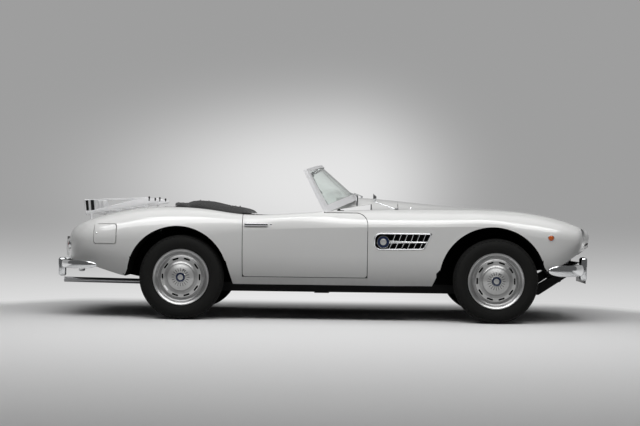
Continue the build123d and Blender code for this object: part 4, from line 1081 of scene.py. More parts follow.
def make_seats():
    for side_name, side in SIDES:
        y0, y1 = sorted((side * SEAT_Y[0], side * SEAT_Y[1]))
        cushion = padded_block(f"seat_cushion_{side_name}", (-0.440, y0, 0.315), (-0.062, y1, 0.448), 0.030,
                               1,
                               SEAT_PLEATS, (2, 1))
        coat(cushion, "leather", "body", LEATHER_SLOT, "seats")
        back = padded_block(f"seat_back_{side_name}", (-0.048, y0, 0.0), (0.048, y1, 0.405), 0.022, 1,
                            SEAT_PLEATS, (0, 1))
        lean = Matrix.Translation((-0.475, 0, 0.385)) @ Matrix.Rotation(math.radians(-18), 4, "Y")
        back.matrix_world = lean
        settle(back)
        coat(back, "leather", "body", LEATHER_SLOT)
        for k, inset in enumerate((0.006, 0.006)):
            y = (y0 + inset, y1 - inset)[k]
            pipe = tube(f"seat_piping_{side_name}_{k}",
                        [(-0.425, y, 0.440), (-0.300, y, 0.446), (-0.120, y, 0.446),
                                                         (-0.068, y, 0.432), (-0.062, y, 0.36)], 0.004)
            coat(pipe, "leather", "body", LEATHER_SLOT)
        for x in (-0.15, -0.40):
            rail = slab(f"seat_rail_{side_name}_{'front' if x > -0.2 else 'rear'}",
                        (x - 0.02, y0 + 0.03, 0.2945),
                        (x + 0.02, y1 - 0.03, 0.318), 0.002)
            coat(rail, "satin_black", "body", "chassis_black")


# ---- folded hood ------------------------------------------------------------------
# the cloth's middle line from its rear edge to its front edge: X and Z
HOOD_LINE = ((-1.214, 0.900), (-1.210, 0.917), (-1.190, 0.925), (-1.150, 0.919), (-1.114, 0.914),
             (-1.090, 0.926),
             (-1.060, 0.938), (-1.012, 0.943), (-0.940, 0.934), (-0.850, 0.917), (-0.760, 0.902),
             (-0.691, 0.890),
             (-0.640, 0.878), (-0.600, 0.864), (-0.578, 0.846))
HOOD_HALF = 0.632
HOOD_STUDS = 9
HOOD_REACH = -0.645        # ahead of here there is no deck under the cloth


def hood_height(share):
    """X and Z of the cloth's middle line at a share of its way forward."""
    place = share * (len(HOOD_LINE) - 1)
    i = min(int(place), len(HOOD_LINE) - 2)
    (x0, z0), (x1, z1) = HOOD_LINE[i], HOOD_LINE[i + 1]
    return x0 + (x1 - x0) * (place - i), z0 + (z1 - z0) * (place - i)


def make_hood():
    """The folded soft top: canvas drawn tight over its bows, fixed down with studs."""
    columns, rows = 140, 84
    deselect()
    bpy.ops.mesh.primitive_grid_add(x_subdivisions=rows, y_subdivisions=columns, size=2.0)
    piece = named("folded_hood")
    for vertex in piece.data.vertices:
        share, v = (vertex.co.x + 1) / 2, vertex.co.y
        x, z = hood_height(share)
        y = v * HOOD_HALF
        x += (1 - share) * 0.12 * abs(v) ** 5 - share * 0.10 * abs(v) ** 6
        deck = top_skin("body_rear", min(x, HOOD_REACH - 0.03), y).z if x < HOOD_REACH else 0.842
        deck = min(deck, 0.905)
        fall = (1 - abs(v) ** 6) ** 0.6
        pull = 0.0016 * math.sin(y * 21.0 + share * 6.0) + 0.0010 * math.sin(y * 47.0 - share * 17.0)
        sag = 0.0022 * math.sin(share * 24.0) * (1 - abs(v) ** 3)
        vertex.co = (x, y, deck + 0.002 + (max(z - deck, 0.004) + pull + sag) * fall)
    modify(piece, "SOLIDIFY", thickness=0.0016, offset=-1.0)
    smooth(piece, 70.0)
    coat(piece, "canvas", "body", "black_canvas", "soft_top")
    hem = tube("hood_hem", [(HOOD_LINE[0][0] + 0.12 * abs(v) ** 5 + 0.004, v * HOOD_HALF * 0.995, 0.0)
                            for v in [k / 12 for k in range(-12, 13)]], 0.0055)
    for vertex in hem.data.vertices:
        vertex.co.z += top_skin("body_rear", vertex.co.x, vertex.co.y).z + 0.004
    coat(hem, "canvas", "body", "black_canvas")
    studs = []
    for i in range(HOOD_STUDS):
        v = 0.90 * (2 * i / (HOOD_STUDS - 1) - 1)
        deck = top_skin("body_rear", HOOD_LINE[0][0] - 0.006 + 0.12 * abs(v) ** 5, v * HOOD_HALF)
        studs.append(turned("stud", [(-0.01, 0), (-0.01, 0.006), (0.003, 0.006), (0.005, 0.0045), (0.006, 0)],
                            deck, (0, 0, 1), 16))
    for x, y in ((-1.00, 0.35), (-1.00, -0.35), (-0.74, 0.50), (-0.74, -0.50), (-0.74, 0.0)):
        share = min(range(101), key=lambda k: abs(hood_height(k / 100)[0] - x)) / 100
        height = hood_height(share)[1]
        studs.append(turned("stud", [(-0.008, 0), (-0.008, 0.007), (0.003, 0.007), (0.006, 0.005),
                                     (0.007, 0)],
                            (x, y, height + 0.002), (0, 0, 1), 16))
    studs = join("hood_studs", studs)
    coat(studs, "chrome", "body", "bright_trim")


# ---- cabin ------------------------------------------------------------------------
DIAL_R = 0.050
STEERING_HUB = Vector((-0.190, 0.370, 0.665))


def make_dial(name, place, radius, numbers):
    """A dial in a bright bezel: ticks, plain numbers and a needle, facing the driver."""
    backward = (-1, 0, 0)
    bezel = turned("bezel", [(-0.001, radius - 0.004), (-0.001, radius + 0.002), (0.006, radius + 0.002),
                             (0.009, radius - 0.001), (0.006, radius - 0.004)], place, backward, 48)
    bezel.data.materials.append(finish_named("chrome"))
    face = turned("face", [(-0.001, 0), (-0.001, radius - 0.003), (0.002, radius - 0.003), (0.002, 0)],
                  place, backward, 48)
    face.data.materials.append(finish_named("dial"))
    parts = [bezel, face]
    x = place[0] - 0.0024
    for i in range(25):
        a = math.radians(225 - 270 * i / 24)
        inner = radius * (0.78 if i % 4 == 0 else 0.84)
        c, s = math.cos(a), math.sin(a)
        parts.append(bar("tick", (x, place[1] - inner * c, place[2] + inner * s),
                         (x, place[1] - radius * 0.91 * c, place[2] + radius * 0.91 * s), 0.0006, 6))
        parts[-1].data.materials.append(finish_named("ivory"))
    for i, number in enumerate(numbers):
        a = math.radians(225 - 270 * i / (len(numbers) - 1))
        deselect()
        bpy.ops.object.text_add()
        text = bpy.context.object
        text.data.body = str(number)
        text.data.size = radius * 0.24
        text.data.align_x, text.data.align_y = "CENTER", "CENTER"
        text.data.extrude = 0.0003
        text.matrix_world = (Matrix.Translation((x, place[1] - radius * 0.62 * math.cos(a),
                                                 place[2] + radius * 0.62 * math.sin(a)))
                             @ Matrix.Rotation(math.radians(-90), 4,
                                               "Z") @ Matrix.Rotation(math.radians(90), 4, "X"))
        bpy.ops.object.convert(target="MESH")
        settle(text)
        text.data.materials.clear()
        text.data.materials.append(finish_named("ivory"))
        parts.append(text)
    a = math.radians(205)
    needle = bar("needle", (x - 0.001, place[1], place[2]),
                 (x - 0.001, place[1] - radius * 0.8 * math.cos(a), place[2] + radius * 0.8 * math.sin(a)),
                 0.0009, 8)
    needle.data.materials.append(finish_named("red_lens"))
    boss = turned("boss", [(0, 0), (0, 0.006), (0.003, 0.005), (0.004, 0)], (x, place[1], place[2]),
                  backward, 20)
    boss.data.materials.append(finish_named("plastic"))
    dial = join(name, parts + [needle, boss])
    return coat(dial, "dial", "body", "black_plastic")


def make_dash():
    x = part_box("dashboard")[0].x
    make_dial("speed_dial", (x, 0.470, 0.775), DIAL_R, (0, 40, 80, 120, 160, 200, 240))
    make_dial("rev_dial", (x, 0.270, 0.775), DIAL_R, (0, 1, 2, 3, 4, 5, 6))
    make_dial("clock_dial", (x, 0.370, 0.800), 0.028, (0, 1, 2))
    knobs = []
    for i, y in enumerate((0.18, 0.11, 0.04, -0.03)):
        knobs.append(turned("knob", [(-0.001, 0), (-0.001, 0.004), (0.012, 0.004), (0.013, 0.011),
                                     (0.022, 0.011),
                                     (0.025, 0.007), (0.0255, 0)], (x, y, 0.745), (-1, 0, 0), 24))
    knobs = join("dash_knobs", knobs)
    coat(knobs, "ivory", "body", "black_plastic")
    lid = slab("glove_box_lid", (x - 0.004, -0.50, 0.720), (x + 0.001, -0.20, 0.812), 0.003, 2)
    coat(lid, "paint", "body", "white_paint")
    catch = turned("glove_box_catch", [(-0.001, 0), (-0.001, 0.009), (0.006, 0.008), (0.008, 0)],
                   (x - 0.004, -0.35, 0.800), (-1, 0, 0), 24)
    coat(catch, "chrome", "body", "bright_trim")
    roll = tube("dash_roll", [(x + 0.012, y, 0.8365 + 0.045 * (1 - (y / 0.6) ** 2)) for y in
                              [0.595 * k / 8 for k in range(-8, 9)]], 0.013, sides=4)
    coat(roll, "leather", "body", LEATHER_SLOT)
    handle = tube("grab_handle", [(x + 0.002, -0.50, 0.838), (x - 0.03, -0.485, 0.845),
                                  (x - 0.034, -0.44, 0.850),
                                  (x - 0.034, -0.30, 0.858), (x - 0.03, -0.255, 0.858),
                                  (x + 0.002, -0.24, 0.858)],
                  0.007)
    coat(handle, "chrome", "body", "bright_trim")


def steering_rule(c, n):
    away = (c - STEERING_HUB).length
    return 1 if 0.036 < away < 0.168 else 0


def make_cabin():
    wheel = panel_copy("steering_wheel", "steering_wheel_piece")
    paint_faces(wheel, ("plastic", "chrome"), steering_rule)
    coat(wheel, "plastic", "steering_wheel", "black_plastic", "steering_wheel")
    tilt = math.radians(30)
    facing = Vector((-math.cos(tilt), 0, math.sin(tilt)))
    hub = STEERING_HUB
    button = turned("horn_button", [(0, 0), (0, 0.026), (0.003, 0.027), (0.007, 0.024), (0.009, 0.012),
                                    (0.0095, 0)],
                    hub + facing * 0.016, facing, 40)
    coat(button, "ivory", "steering_wheel", "black_plastic")
    horn = tube("horn_ring", [hub + facing * 0.012 + Vector((math.sin(tilt), 0,
                                                             math.cos(tilt))) * 0.085 * math.sin(a)
                              + Vector((0, 1, 0)) * 0.085 * math.cos(a)
                              for a in [TAU * k / 24 for k in range(24)]], 0.0035, False, True)
    coat(horn, "chrome", "steering_wheel", "black_plastic")
    gaiter_low = 0.480
    rings = [(0.0, 0.0), (0.0, 0.052), (0.006, 0.050)]
    for k in range(5):
        rings += [(0.010 + 0.011 * k, 0.044 - 0.006 * k), (0.0155 + 0.011 * k, 0.0395 - 0.006 * k)]
    rings += [(0.066, 0.010), (0.066, 0.0)]
    gaiter = turned("gear_gaiter", rings, (0.058, 0, gaiter_low), (-0.1, 0, 1), 40)
    coat(gaiter, "leather", "body", LEATHER_SLOT)
    for side_name, side in SIDES:
        y = side * 0.699
        body = f"door_{side_name}"
        pocket = slab(f"door_pocket_{side_name}", (-0.50, min(y, y - side * 0.012), 0.40),
                      (0.10, max(y, y - side * 0.012), 0.56), 0.006, 3)
        coat(pocket, "leather", body, LEATHER_SLOT)
        pull = tube(f"door_pull_{side_name}", [(-0.36, y, 0.700), (-0.355, y - side * 0.03, 0.702),
                                               (-0.30, y - side * 0.036, 0.704),
                                               (-0.16, y - side * 0.036, 0.704),
                                               (-0.105, y - side * 0.03, 0.702), (-0.10, y, 0.700)], 0.007)
        coat(pull, "chrome", body, "bright_trim")
        crank = turned(f"window_crank_{side_name}",
                       [(-0.002, 0), (-0.002, 0.022), (0.004, 0.021), (0.008, 0.012),
                                                     (0.020, 0.010), (0.022, 0)], (-0.02, y, 0.655),
                                                     (0, -side, 0), 32)
        arm = bar("crank_arm", (-0.02, y - side * 0.018, 0.655), (-0.085, y - side * 0.022, 0.640), 0.006, 12)
        grip = bar("crank_grip", (-0.085, y - side * 0.016, 0.640), (-0.085, y - side * 0.052, 0.640),
                   0.009, 16)
        crank = join(f"window_crank_{side_name}", [crank, arm, grip])
        coat(crank, "chrome", body, "bright_trim")
        mat = slab(f"floor_mat_{side_name}", (-0.03, min(side * 0.17, side * 0.56), 0.2945),
                   (0.36, max(side * 0.17, side * 0.56), 0.302), 0.003, 2)
        coat(mat, "rubber", "body", "black_plastic")


# ---- trim and fittings --------------------------------------------------------------
RACK_HALF = 0.330
RACK_PLATE = ((-1.943, 0.816), (-1.455, 0.908), (-1.351, 0.922), (-1.351, 0.940), (-1.455, 0.964),
              (-1.943, 0.838))
RACK_SLATS = 5
PAD_WIDE = 0.050


def pad_rule(c, n):
    """Dark on a pad's outer end, pale elsewhere."""
    return 1 if abs(c.y) > RACK_HALF - 0.008 else 0


def make_rack():
    """Luggage rack: pale side plates, slats, a rear rail, and dark pads between bright strips."""
    y = RACK_HALF
    pale, pads = [], []
    for side in (-1, 1):
        outline = [(x, side * y - 0.005, z) for x, z in RACK_PLATE]
        pale.append(plate("rack_plate", outline, (0, 0.010, 0), 0.0025, 2))
        for x, head in ((-1.900, 0.830), (-1.445, 0.915)):
            foot = top_skin("boot_lid", x, side * y)
            pale.append(bar("rack_post", foot, (x, side * y, head), 0.009, 20))
        for a, b, r in (((-1.943, 0.826), (-1.957, 0.940), 0.006), ((-1.900, 0.940), (-1.455, 0.960), 0.0034),
                        ((-1.957, 0.936), (-1.900, 0.940), 0.004),
                        ((-1.957, 0.936), (-1.455, 0.958), 0.0026)):
            pale.append(bar("rack_stay", (a[0], side * y, a[1]), (b[0], side * y, b[1]), r, 16))
        for x, head in ((-1.425, 0.972), (-1.375, 0.962)):
            knob = bar("rack_knob", (x, side * y, 0.935), (x, side * y, head), 0.007, 20)
            knob.data.materials.append(finish_named("rubber"))
            pads.append(knob)
        near, far = side * (y - 0.004), side * (y - 0.004 - PAD_WIDE)
        for x in (-1.935, -1.888):
            shape = [(x - 0.014, near, 0.852), (x + 0.014, near, 0.852), (x + 0.006, near, 0.940),
                     (x - 0.022, near, 0.940)]
            pad = plate("rack_pad", shape, (0, far - near, 0), 0.004, 2)
            pads.append(paint_faces(pad, ("pale_silver", "rubber"), pad_rule))
            strip = bar("rack_strip", (x + 0.020, (near + far) / 2, 0.846),
                        (x + 0.012, (near + far) / 2, 0.940),
                        0.0045, 12)
            pale.append(strip)
    for i in range(RACK_SLATS):
        share = (i + 0.5) / RACK_SLATS
        x, z = -1.943 + 0.560 * share, 0.822 + 0.096 * share
        pale.append(bar("rack_slat", (x, -y, z), (x, y, z), 0.008, 20))
    pale.append(bar("rack_rail", (-1.957, -y, 0.936), (-1.957, y, 0.936), 0.006, 20))
    coat(join("rack_piece", pale), "pale_silver", "boot_lid", "bright_trim", "luggage_rack")
    coat(join("rack_pads", pads), "rubber", "boot_lid", "bright_trim")


# half plan of each bumper: middle, bend and end; heights of the blade and of its overriders
BUMPERS = (
    ("front", ((2.190, 0.0), (2.085, 0.560), (1.780, 0.806)), (0.376, 0.466), (0.332, 0.522)),
    ("rear", ((-2.190, 0.0), (-2.085, 0.560), (-1.768, 0.806)), (0.392, 0.456), (0.318, 0.470)),
)
BUMPER_T = 0.022
BUMPER_BEND_SHARE = 0.58
BUMPER_END_SHARE = 0.16
OVERRIDER_Y = 0.425


def bumper_place(plan, share):
    """A point of the half plan: an arc across the car, then one round the corner."""
    (mid_x, _), (bend_x, bend_y), (end_x, end_y) = plan
    s = math.copysign(1, mid_x)
    if share <= BUMPER_BEND_SHARE:
        y = bend_y * share / BUMPER_BEND_SHARE
        return Vector((mid_x - s * abs(mid_x - bend_x) * (y / bend_y) ** 2, y, 0))
    slope = 2 * abs(mid_x - bend_x) / bend_y
    rise, run = end_y - bend_y, abs(bend_x - end_x)
    back = (run - slope * rise) / (1 - 0.06 * slope)
    corner = Vector((end_x + s * back, end_y - 0.06 * back, 0))
    t = (share - BUMPER_BEND_SHARE) / (1 - BUMPER_BEND_SHARE)
    return Vector((bend_x, bend_y, 0)).lerp(corner, t).lerp(corner.lerp(Vector((end_x, end_y, 0)), t), t)


def make_bumper(label, plan, heights, rider_heights):
    """A blade of oval section that runs out at its round ends, with two overriders."""
    s = math.copysign(1, plan[0][0])
    middle, half = sum(heights) / 2, (heights[1] - heights[0]) / 2
    deselect()
    bpy.ops.mesh.primitive_grid_add(x_subdivisions=220, y_subdivisions=28, size=2.0)
    blade = named("blade")
    for vertex in blade.data.vertices:
        share, side, a = abs(vertex.co.x), math.copysign(1, vertex.co.x), math.pi * vertex.co.y
        here = bumper_place(plan, share)
        run = bumper_place(plan, min(1.0, share + 0.004)) - bumper_place(plan, max(0.0, share - 0.004))
        out = Vector((run.y, -run.x, 0)).normalized() * s
        left = max(0.0, (share - 1 + BUMPER_END_SHARE) / BUMPER_END_SHARE)
        size = math.sqrt(max(0.0, 1 - left ** 2.4))
        here -= out * BUMPER_T / 2 * (1 - math.cos(a) * (0.4 + 0.6 * size) * (1 if size else 0))
        vertex.co = (here.x, here.y * side, middle + half * math.sin(a) * size)
    edit(blade, merge, face_out)
    smooth(blade, 60.0)
    riders = []
    for side in (-1, 1):
        (mid_x, _), (bend_x, bend_y), _ = plan
        face_x = mid_x - s * abs(mid_x - bend_x) * (OVERRIDER_Y / bend_y) ** 2
        xs = sorted((face_x - s * 0.050, face_x + s * 0.016))
        riders.append(slab("overrider", (xs[0], side * OVERRIDER_Y - 0.026, rider_heights[0]),
                           (xs[1], side * OVERRIDER_Y + 0.026, rider_heights[1]), 0.0225, 6))
    piece = join(f"{label}_bumper_piece", [blade] + riders)
    coat(piece, "chrome", "body", "bright_trim", f"{label}_bumper")


MIRROR_FACE_X = 0.4055


def mirror_rule(c, n):
    """Glass on the faces of the wing mirrors and of the inner one."""
    on_glass = abs(c.x - MIRROR_FACE_X) < 0.002 or c.x < 0 and abs(c.y) < 0.1
    return 1 if n.x < -0.8 and on_glass else 0


def make_trim():
    make_rack()
    for bumper in BUMPERS:
        make_bumper(*bumper)
    for node, name, body, slot, finishes, rule in (
            ("mirrors", "mirror_pieces", "body", "bright_trim", ("chrome", "mirror"), mirror_rule),
            ("windscreen_frame", "screen_frame", "body", "bright_trim", ("pale_silver",), None),
            ("grille", "grille_piece", "body", "bright_trim", ("chrome",), None)):
        copy = panel_copy(node, name)
        paint_faces(copy, finishes, rule)
        coat(copy, finishes[0], body, slot, node)
    lock = (-1.775, side_skin("fuel_flap", -1.775, 0.672, -1).y, 0.672)
    flap_lock = turned("flap_lock", [(-0.002, 0), (-0.002, 0.009), (0.002, 0.009), (0.004, 0.006),
                                     (0.0045, 0)],
                       lock, (0, -1, 0), 24)
    coat(flap_lock, "chrome", "fuel_flap", "bright_trim")
    rear_plate = slab("rear_plate", (-2.112, -0.235, 0.525), (-2.1045, 0.235, 0.635), 0.002)
    coat(rear_plate, "plate", "body", "black_plastic")
    front_plate = slab("front_plate", (2.160, -0.235, 0.300), (2.166, 0.235, 0.400), 0.002)
    coat(front_plate, "plate", "body", "black_plastic")
    for side_name, side in SIDES:
        z = 0.758
        place = side_skin(f"door_{side_name}", -0.398, z, side)
        button = turned(f"door_lock_{side_name}", [(-0.003, 0), (-0.003, 0.0085), (0.003, 0.0085),
                                                   (0.0045, 0.005),
                                                   (0.005, 0)], place, (0, side, 0), 24)
        coat(button, "chrome", f"door_{side_name}", "bright_trim")
        place = top_skin("bonnet", 0.72, side * 0.30)
        nozzle = turned(f"washer_nozzle_{side_name}",
                        [(-0.003, 0), (-0.003, 0.009), (0.004, 0.008), (0.009, 0.004),
                                                       (0.0095, 0)], place, (0, 0, 1), 20)
        coat(nozzle, "chrome", "bonnet", "bright_trim")


# ---- underside ------------------------------------------------------------------------
def coil(name, foot, head, radius, wire, turns):
    steps = 14
    foot, head = Vector(foot), Vector(head)
    points = []
    for k in range(int(turns * steps) + 1):
        a = TAU * k / steps
        share = k / (turns * steps)
        centre = foot.lerp(head, share)
        points.append((centre.x + radius * math.cos(a), centre.y + radius * math.sin(a), centre.z))
    return tube(name, points, wire, True, steps=3, sides=2)


INNER_WING_Y = 0.449       # the sheet between a front wheelhouse and the engine bay


def make_underside():
    for side_name, side in SIDES:
        spring = coil(f"front_spring_{side_name}", (FRONT_AXLE_X, side * 0.480, 0.232),
                      (FRONT_AXLE_X, side * 0.480, 0.492), 0.046, 0.007, 6.5)
        coat(spring, "satin_black", "body", "chassis_black")
        y = side * INNER_WING_Y
        wing = slab(f"inner_wing_{side_name}", (FRONT_AXLE_X - 0.33, y - 0.0025, 0.60),
                    (FRONT_AXLE_X + 0.27, y + 0.0025, 0.79), 0.001)
        coat(wing, "underseal", "body", "chassis_black")
    fins = []
    low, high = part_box("radiator")
    for k in range(36):
        y = low.y + 0.012 + (high.y - low.y - 0.024) * k / 35
        fins.append(slab("fin", (high.x, y - 0.0012, low.z + 0.03),
                         (high.x + 0.006, y + 0.0012, high.z - 0.03),
                         0.0))
    fins = join("radiator_fins", fins)
    coat(fins, "satin_black", "body", "cast_alloy" if "cast_alloy" in SLOTS else "chassis_black")


# ---- stage ------------------------------------------------------------------
CAMERA_PLACE = (0.217, -12.08, 0.876)
CAMERA_YAW = 1.17
CAMERA_ROLL = 0.72
CAMERA_PITCH = -0.108
CAMERA_LENS = 80.8
BACKDROP_Y = 9.0
FLOOR_NEAR_Y = -14.0
STAGE_HALF = 22.0
STAGE_TOP = 10.0


def seen_only(material, colour, lit, solid=None):
    """Shows colour to the camera, to gloss and through glass as a painted glow, lit to all else; clear from
    its back.
    """
    tree = material.node_tree
    output = tree.nodes["Material Output"]
    maker = Value(tree, None)
    path = tree.nodes.new("ShaderNodeLightPath")
    seen = (Value(tree, path.outputs["Is Camera Ray"]) + Value(tree, path.outputs["Is Glossy Ray"])
            + Value(tree, path.outputs["Is Transmission Ray"])).clamp()
    glow = maker.node("ShaderNodeEmission", {"Color": colour, "Strength": 1.0})
    if solid:
        share, floor = solid
        glow = maker.node("ShaderNodeMixShader", {0: share, 1: glow, 2: floor})
    mixed = maker.node("ShaderNodeMixShader", {0: seen, 1: lit, 2: glow})
    geometry = tree.nodes.new("ShaderNodeNewGeometry")
    clear = maker.node("ShaderNodeBsdfTransparent", {"Color": (1.0, 1.0, 1.0, 1.0)})
    mixed = maker.node("ShaderNodeMixShader", {0: Value(tree, geometry.outputs["Backfacing"]), 1: mixed,
                                               2: clear})
    tree.links.new(mixed.socket, output.inputs["Surface"])


def make_sweep():
    """One sheet of pale paper: floor, cove and back wall."""
    cove = 2.2
    line = [(FLOOR_NEAR_Y, 0.0), (-4.0, 0.0), (-1.0, 0.0), (2.0, 0.0), (BACKDROP_Y - cove, 0.0)]
    line += [(BACKDROP_Y - cove + cove * math.sin(a), cove - cove * math.cos(a))
             for a in [math.radians(90 * k / 16) for k in range(1, 17)]]
    line += [(BACKDROP_Y, STAGE_TOP)]
    deselect()
    bpy.ops.mesh.primitive_grid_add(x_subdivisions=1, y_subdivisions=len(line) - 1, size=2.0)
    sweep = named("sweep")
    rows = sorted({round(v.co.y, 6) for v in sweep.data.vertices})
    for vertex in sweep.data.vertices:
        y, z = line[min(range(len(rows)), key=lambda k: abs(rows[k] - vertex.co.y))]
        vertex.co = (vertex.co.x * STAGE_HALF, y, z)
    smooth(sweep, 60.0)
    made = Finish("pale paper", (0.5, 0.5, 0.5), 0.9)
    x, y, z = made.x, made.y, made.z
    # painted light on the wall: a soft painted glow behind the car, over an even grey that lightens at its
    # foot and, on the floor, towards the front
    dx, dz = x - 0.006, (z - 1.247) / 1.174
    wide = dx * (0.344 + dx.above(0.0) * 0.317)
    painted_glow = 2.71828 ** (0.0 - (wide * wide + dz * dz) ** 1.345)
    low = (1.0 - z / 0.85).clamp()
    painted_light_level = 0.342 + painted_glow * 0.44 + low * low * 0.223 + ((7.2 - y) * 0.0205).clamp()
    wall = made.mix(painted_light_level.clamp(), (0.0, 0.0, 0.0), (1.0, 1.0, 1.0))
    # painted light on the floor: its colour is lighter in a pool near the car and lighter still from under
    # the car to behind it
    painted_pool, back = y.smooth(-5.4, -1.0), y.smooth(-0.4, 1.6)
    floor = made.mix(back, made.mix(painted_pool, (0.74, 0.74, 0.74), (0.77, 0.77, 0.77)), (0.95, 0.95, 0.95))
    paper = made.maker.node("ShaderNodeBsdfDiffuse", {"Color": floor})
    dull = made.maker.node("ShaderNodeBsdfDiffuse", {"Color": (0.06, 0.06, 0.06, 1.0)})
    share = 1.0 - (y + x.size().smooth(2.1, 3.6) * 1.3).smooth(1.0, 2.1)
    seen_only(made.material, wall, dull, (share, paper))
    sweep.data.materials.append(made.material)


def add_lamp(name, place, aim, size, watts, colour=(1, 1, 1)):
    deselect()
    bpy.ops.object.light_add(type="AREA", location=place)
    lamp = bpy.context.object
    lamp.name = name
    lamp.rotation_euler = (Vector(aim) - Vector(place)).to_track_quat("-Z", "Y").to_euler()
    lamp.data.shape = "RECTANGLE"
    lamp.data.size, lamp.data.size_y = size
    lamp.data.energy = watts
    lamp.data.color = colour
    return lamp


def make_stage():
    make_sweep()
    add_lamp("overhead", (0.0, 0.0, 5.6), (0.0, 0.0, 0.0), (9.0, 4.0), 70.0)
    add_lamp("near_strip", (0.0, -2.0, 2.95), (0.0, -0.9, 0.3), (6.6, 0.5), 32.0)
    add_lamp("high_key", (0.0, -4.4, 5.4), (0.0, -0.6, 0.6), (9.5, 2.4), 262.0)
    world = bpy.data.worlds.new("studio")
    bpy.context.scene.world = world
    world.use_nodes = True
    world.node_tree.nodes["Background"].inputs["Color"].default_value = (0.98, 0.99, 1.0, 1.0)
    world.node_tree.nodes["Background"].inputs["Strength"].default_value = 0.10
    far = Value(world.node_tree, None).node("ShaderNodeBackground",
                                            {"Color": (0.34, 0.34, 0.34, 1.0), "Strength": 1.0})
    path = world.node_tree.nodes.new("ShaderNodeLightPath")
    seen = far.node("ShaderNodeMixShader", {
        0: Value(world.node_tree, path.outputs["Is Camera Ray"]),
        1: Value(world.node_tree, world.node_tree.nodes["Background"].outputs[0]), 2: far})
    world.node_tree.links.new(seen.socket, world.node_tree.nodes["World Output"].inputs["Surface"])
    deselect()
    bpy.ops.object.camera_add(location=CAMERA_PLACE)
    camera = bpy.context.object
    camera.rotation_euler = (math.pi / 2 + math.radians(CAMERA_PITCH), -math.radians(CAMERA_ROLL),
                             math.radians(CAMERA_YAW))
    camera.data.sensor_width = 36.0
    camera.data.lens = CAMERA_LENS
    camera.data.clip_end = 200.0
    bpy.context.scene.camera = camera
    bpy.context.scene.view_settings.view_transform = "Standard"


# ---- add-on -----------------------------------------------------------------
class RoadsterSettings(bpy.types.PropertyGroup):
    paint_colour: bpy.props.FloatVectorProperty(
        name="Paint", description="Colour of the body", subtype="COLOR", size=3, default=(0.80, 0.80, 0.79))
    leather_colour: bpy.props.FloatVectorProperty(
        name="Leather", description="Colour of seats and trim", subtype="COLOR", size=3,
        default=(0.030, 0.028, 0.027))


class ROADSTER_OT_stage(bpy.types.Operator):
    """Floor, backdrop, lamps and camera"""
    bl_idname = "roadster.stage"
    bl_label = "Stage"

    def execute(self, context):
        make_stage()
        return {"FINISHED"}


class ROADSTER_OT_finishes(bpy.types.Operator):
    """All materials of the car"""
    bl_idname = "roadster.finishes"
    bl_label = "Finishes"

    def execute(self, context):
        make_finishes(context.scene.roadster_settings)
        return {"FINISHED"}


class ROADSTER_OT_nodes(bpy.types.Operator):
    """Finishes of the frame's own pieces"""
    bl_idname = "roadster.nodes"
    bl_label = "Frame nodes"

    def execute(self, context):
        dress_nodes()
        return {"FINISHED"}


class ROADSTER_OT_panels(bpy.types.Operator):
    """Painted panels, wheelhouses and trim faces"""
    bl_idname = "roadster.panels"
    bl_label = "Body panels"

    def execute(self, context):
        make_panels()
        return {"FINISHED"}


class ROADSTER_OT_wheels(bpy.types.Operator):
    """Discs, trim rings, hub caps, drums and tyres"""
    bl_idname = "roadster.wheels"
    bl_label = "Wheels"

    def execute(self, context):
        make_wheels()
        return {"FINISHED"}


class ROADSTER_OT_flap(bpy.types.Operator):
    """Filler flap, fitted to the skin around it"""
    bl_idname = "roadster.flap"
    bl_label = "Fuel flap"

    def execute(self, context):
        make_flap()
        return {"FINISHED"}


class ROADSTER_OT_vents(bpy.types.Operator):
    """Bright surrounds, slanted bars and badges"""
    bl_idname = "roadster.vents"
    bl_label = "Side vents"

    def execute(self, context):
        make_vents()
        return {"FINISHED"}


class ROADSTER_OT_lamps(bpy.types.Operator):
    """Head lamps, marker lamps and tail lamps"""
    bl_idname = "roadster.lamps"
    bl_label = "Lamps"

    def execute(self, context):
        make_lamps()
        return {"FINISHED"}


class ROADSTER_OT_seats(bpy.types.Operator):
    """Pleated cushions and seat backs"""
    bl_idname = "roadster.seats"
    bl_label = "Seats"

    def execute(self, context):
        make_seats()
        return {"FINISHED"}


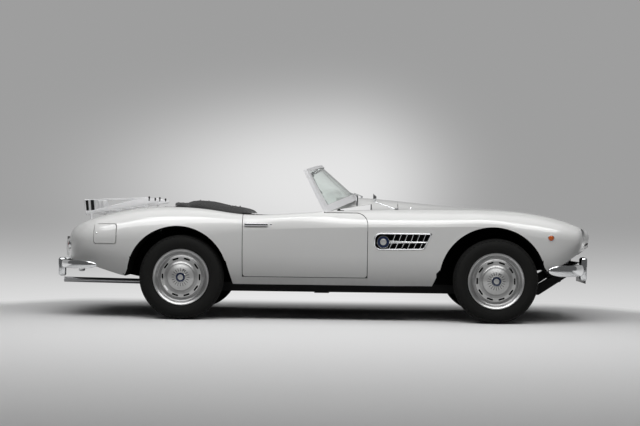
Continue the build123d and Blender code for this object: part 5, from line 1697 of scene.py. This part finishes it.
class ROADSTER_OT_hood(bpy.types.Operator):
    """Folded canvas and its studs"""
    bl_idname = "roadster.hood"
    bl_label = "Folded hood"

    def execute(self, context):
        make_hood()
        return {"FINISHED"}


class ROADSTER_OT_dash(bpy.types.Operator):
    """Dials, knobs, glove box and dash roll"""
    bl_idname = "roadster.dash"
    bl_label = "Dashboard"

    def execute(self, context):
        make_dash()
        return {"FINISHED"}


class ROADSTER_OT_cabin(bpy.types.Operator):
    """Steering wheel, gaiter and door trim"""
    bl_idname = "roadster.cabin"
    bl_label = "Cabin"

    def execute(self, context):
        make_cabin()
        return {"FINISHED"}


class ROADSTER_OT_trim(bpy.types.Operator):
    """Rack, bumpers, plates, locks and nozzles"""
    bl_idname = "roadster.trim"
    bl_label = "Trim"

    def execute(self, context):
        make_trim()
        return {"FINISHED"}


class ROADSTER_OT_underside(bpy.types.Operator):
    """Springs and radiator fins"""
    bl_idname = "roadster.underside"
    bl_label = "Underside"

    def execute(self, context):
        make_underside()
        return {"FINISHED"}


OPERATORS = [
    ROADSTER_OT_stage, ROADSTER_OT_finishes, ROADSTER_OT_nodes, ROADSTER_OT_panels, ROADSTER_OT_wheels,
    ROADSTER_OT_flap, ROADSTER_OT_vents, ROADSTER_OT_lamps, ROADSTER_OT_seats, ROADSTER_OT_hood,
    ROADSTER_OT_dash, ROADSTER_OT_cabin, ROADSTER_OT_trim, ROADSTER_OT_underside,
]


class ROADSTER_PT_panel(bpy.types.Panel):
    bl_label = "Roadster"
    bl_space_type = "VIEW_3D"
    bl_region_type = "UI"
    bl_category = "Roadster"

    def draw(self, context):
        for item in OPERATORS:
            self.layout.operator(item.bl_idname)


CLASSES = [RoadsterSettings] + OPERATORS + [ROADSTER_PT_panel]


def register():
    for item in CLASSES:
        bpy.utils.register_class(item)
    bpy.types.Scene.roadster_settings = bpy.props.PointerProperty(type=RoadsterSettings)


def unregister():
    del bpy.types.Scene.roadster_settings
    for item in reversed(CLASSES):
        bpy.utils.unregister_class(item)


def main():
    register()
    for item in OPERATORS:
        getattr(bpy.ops.roadster, item.bl_idname.split(".")[1])()


if __name__ == "__main__":
    main()
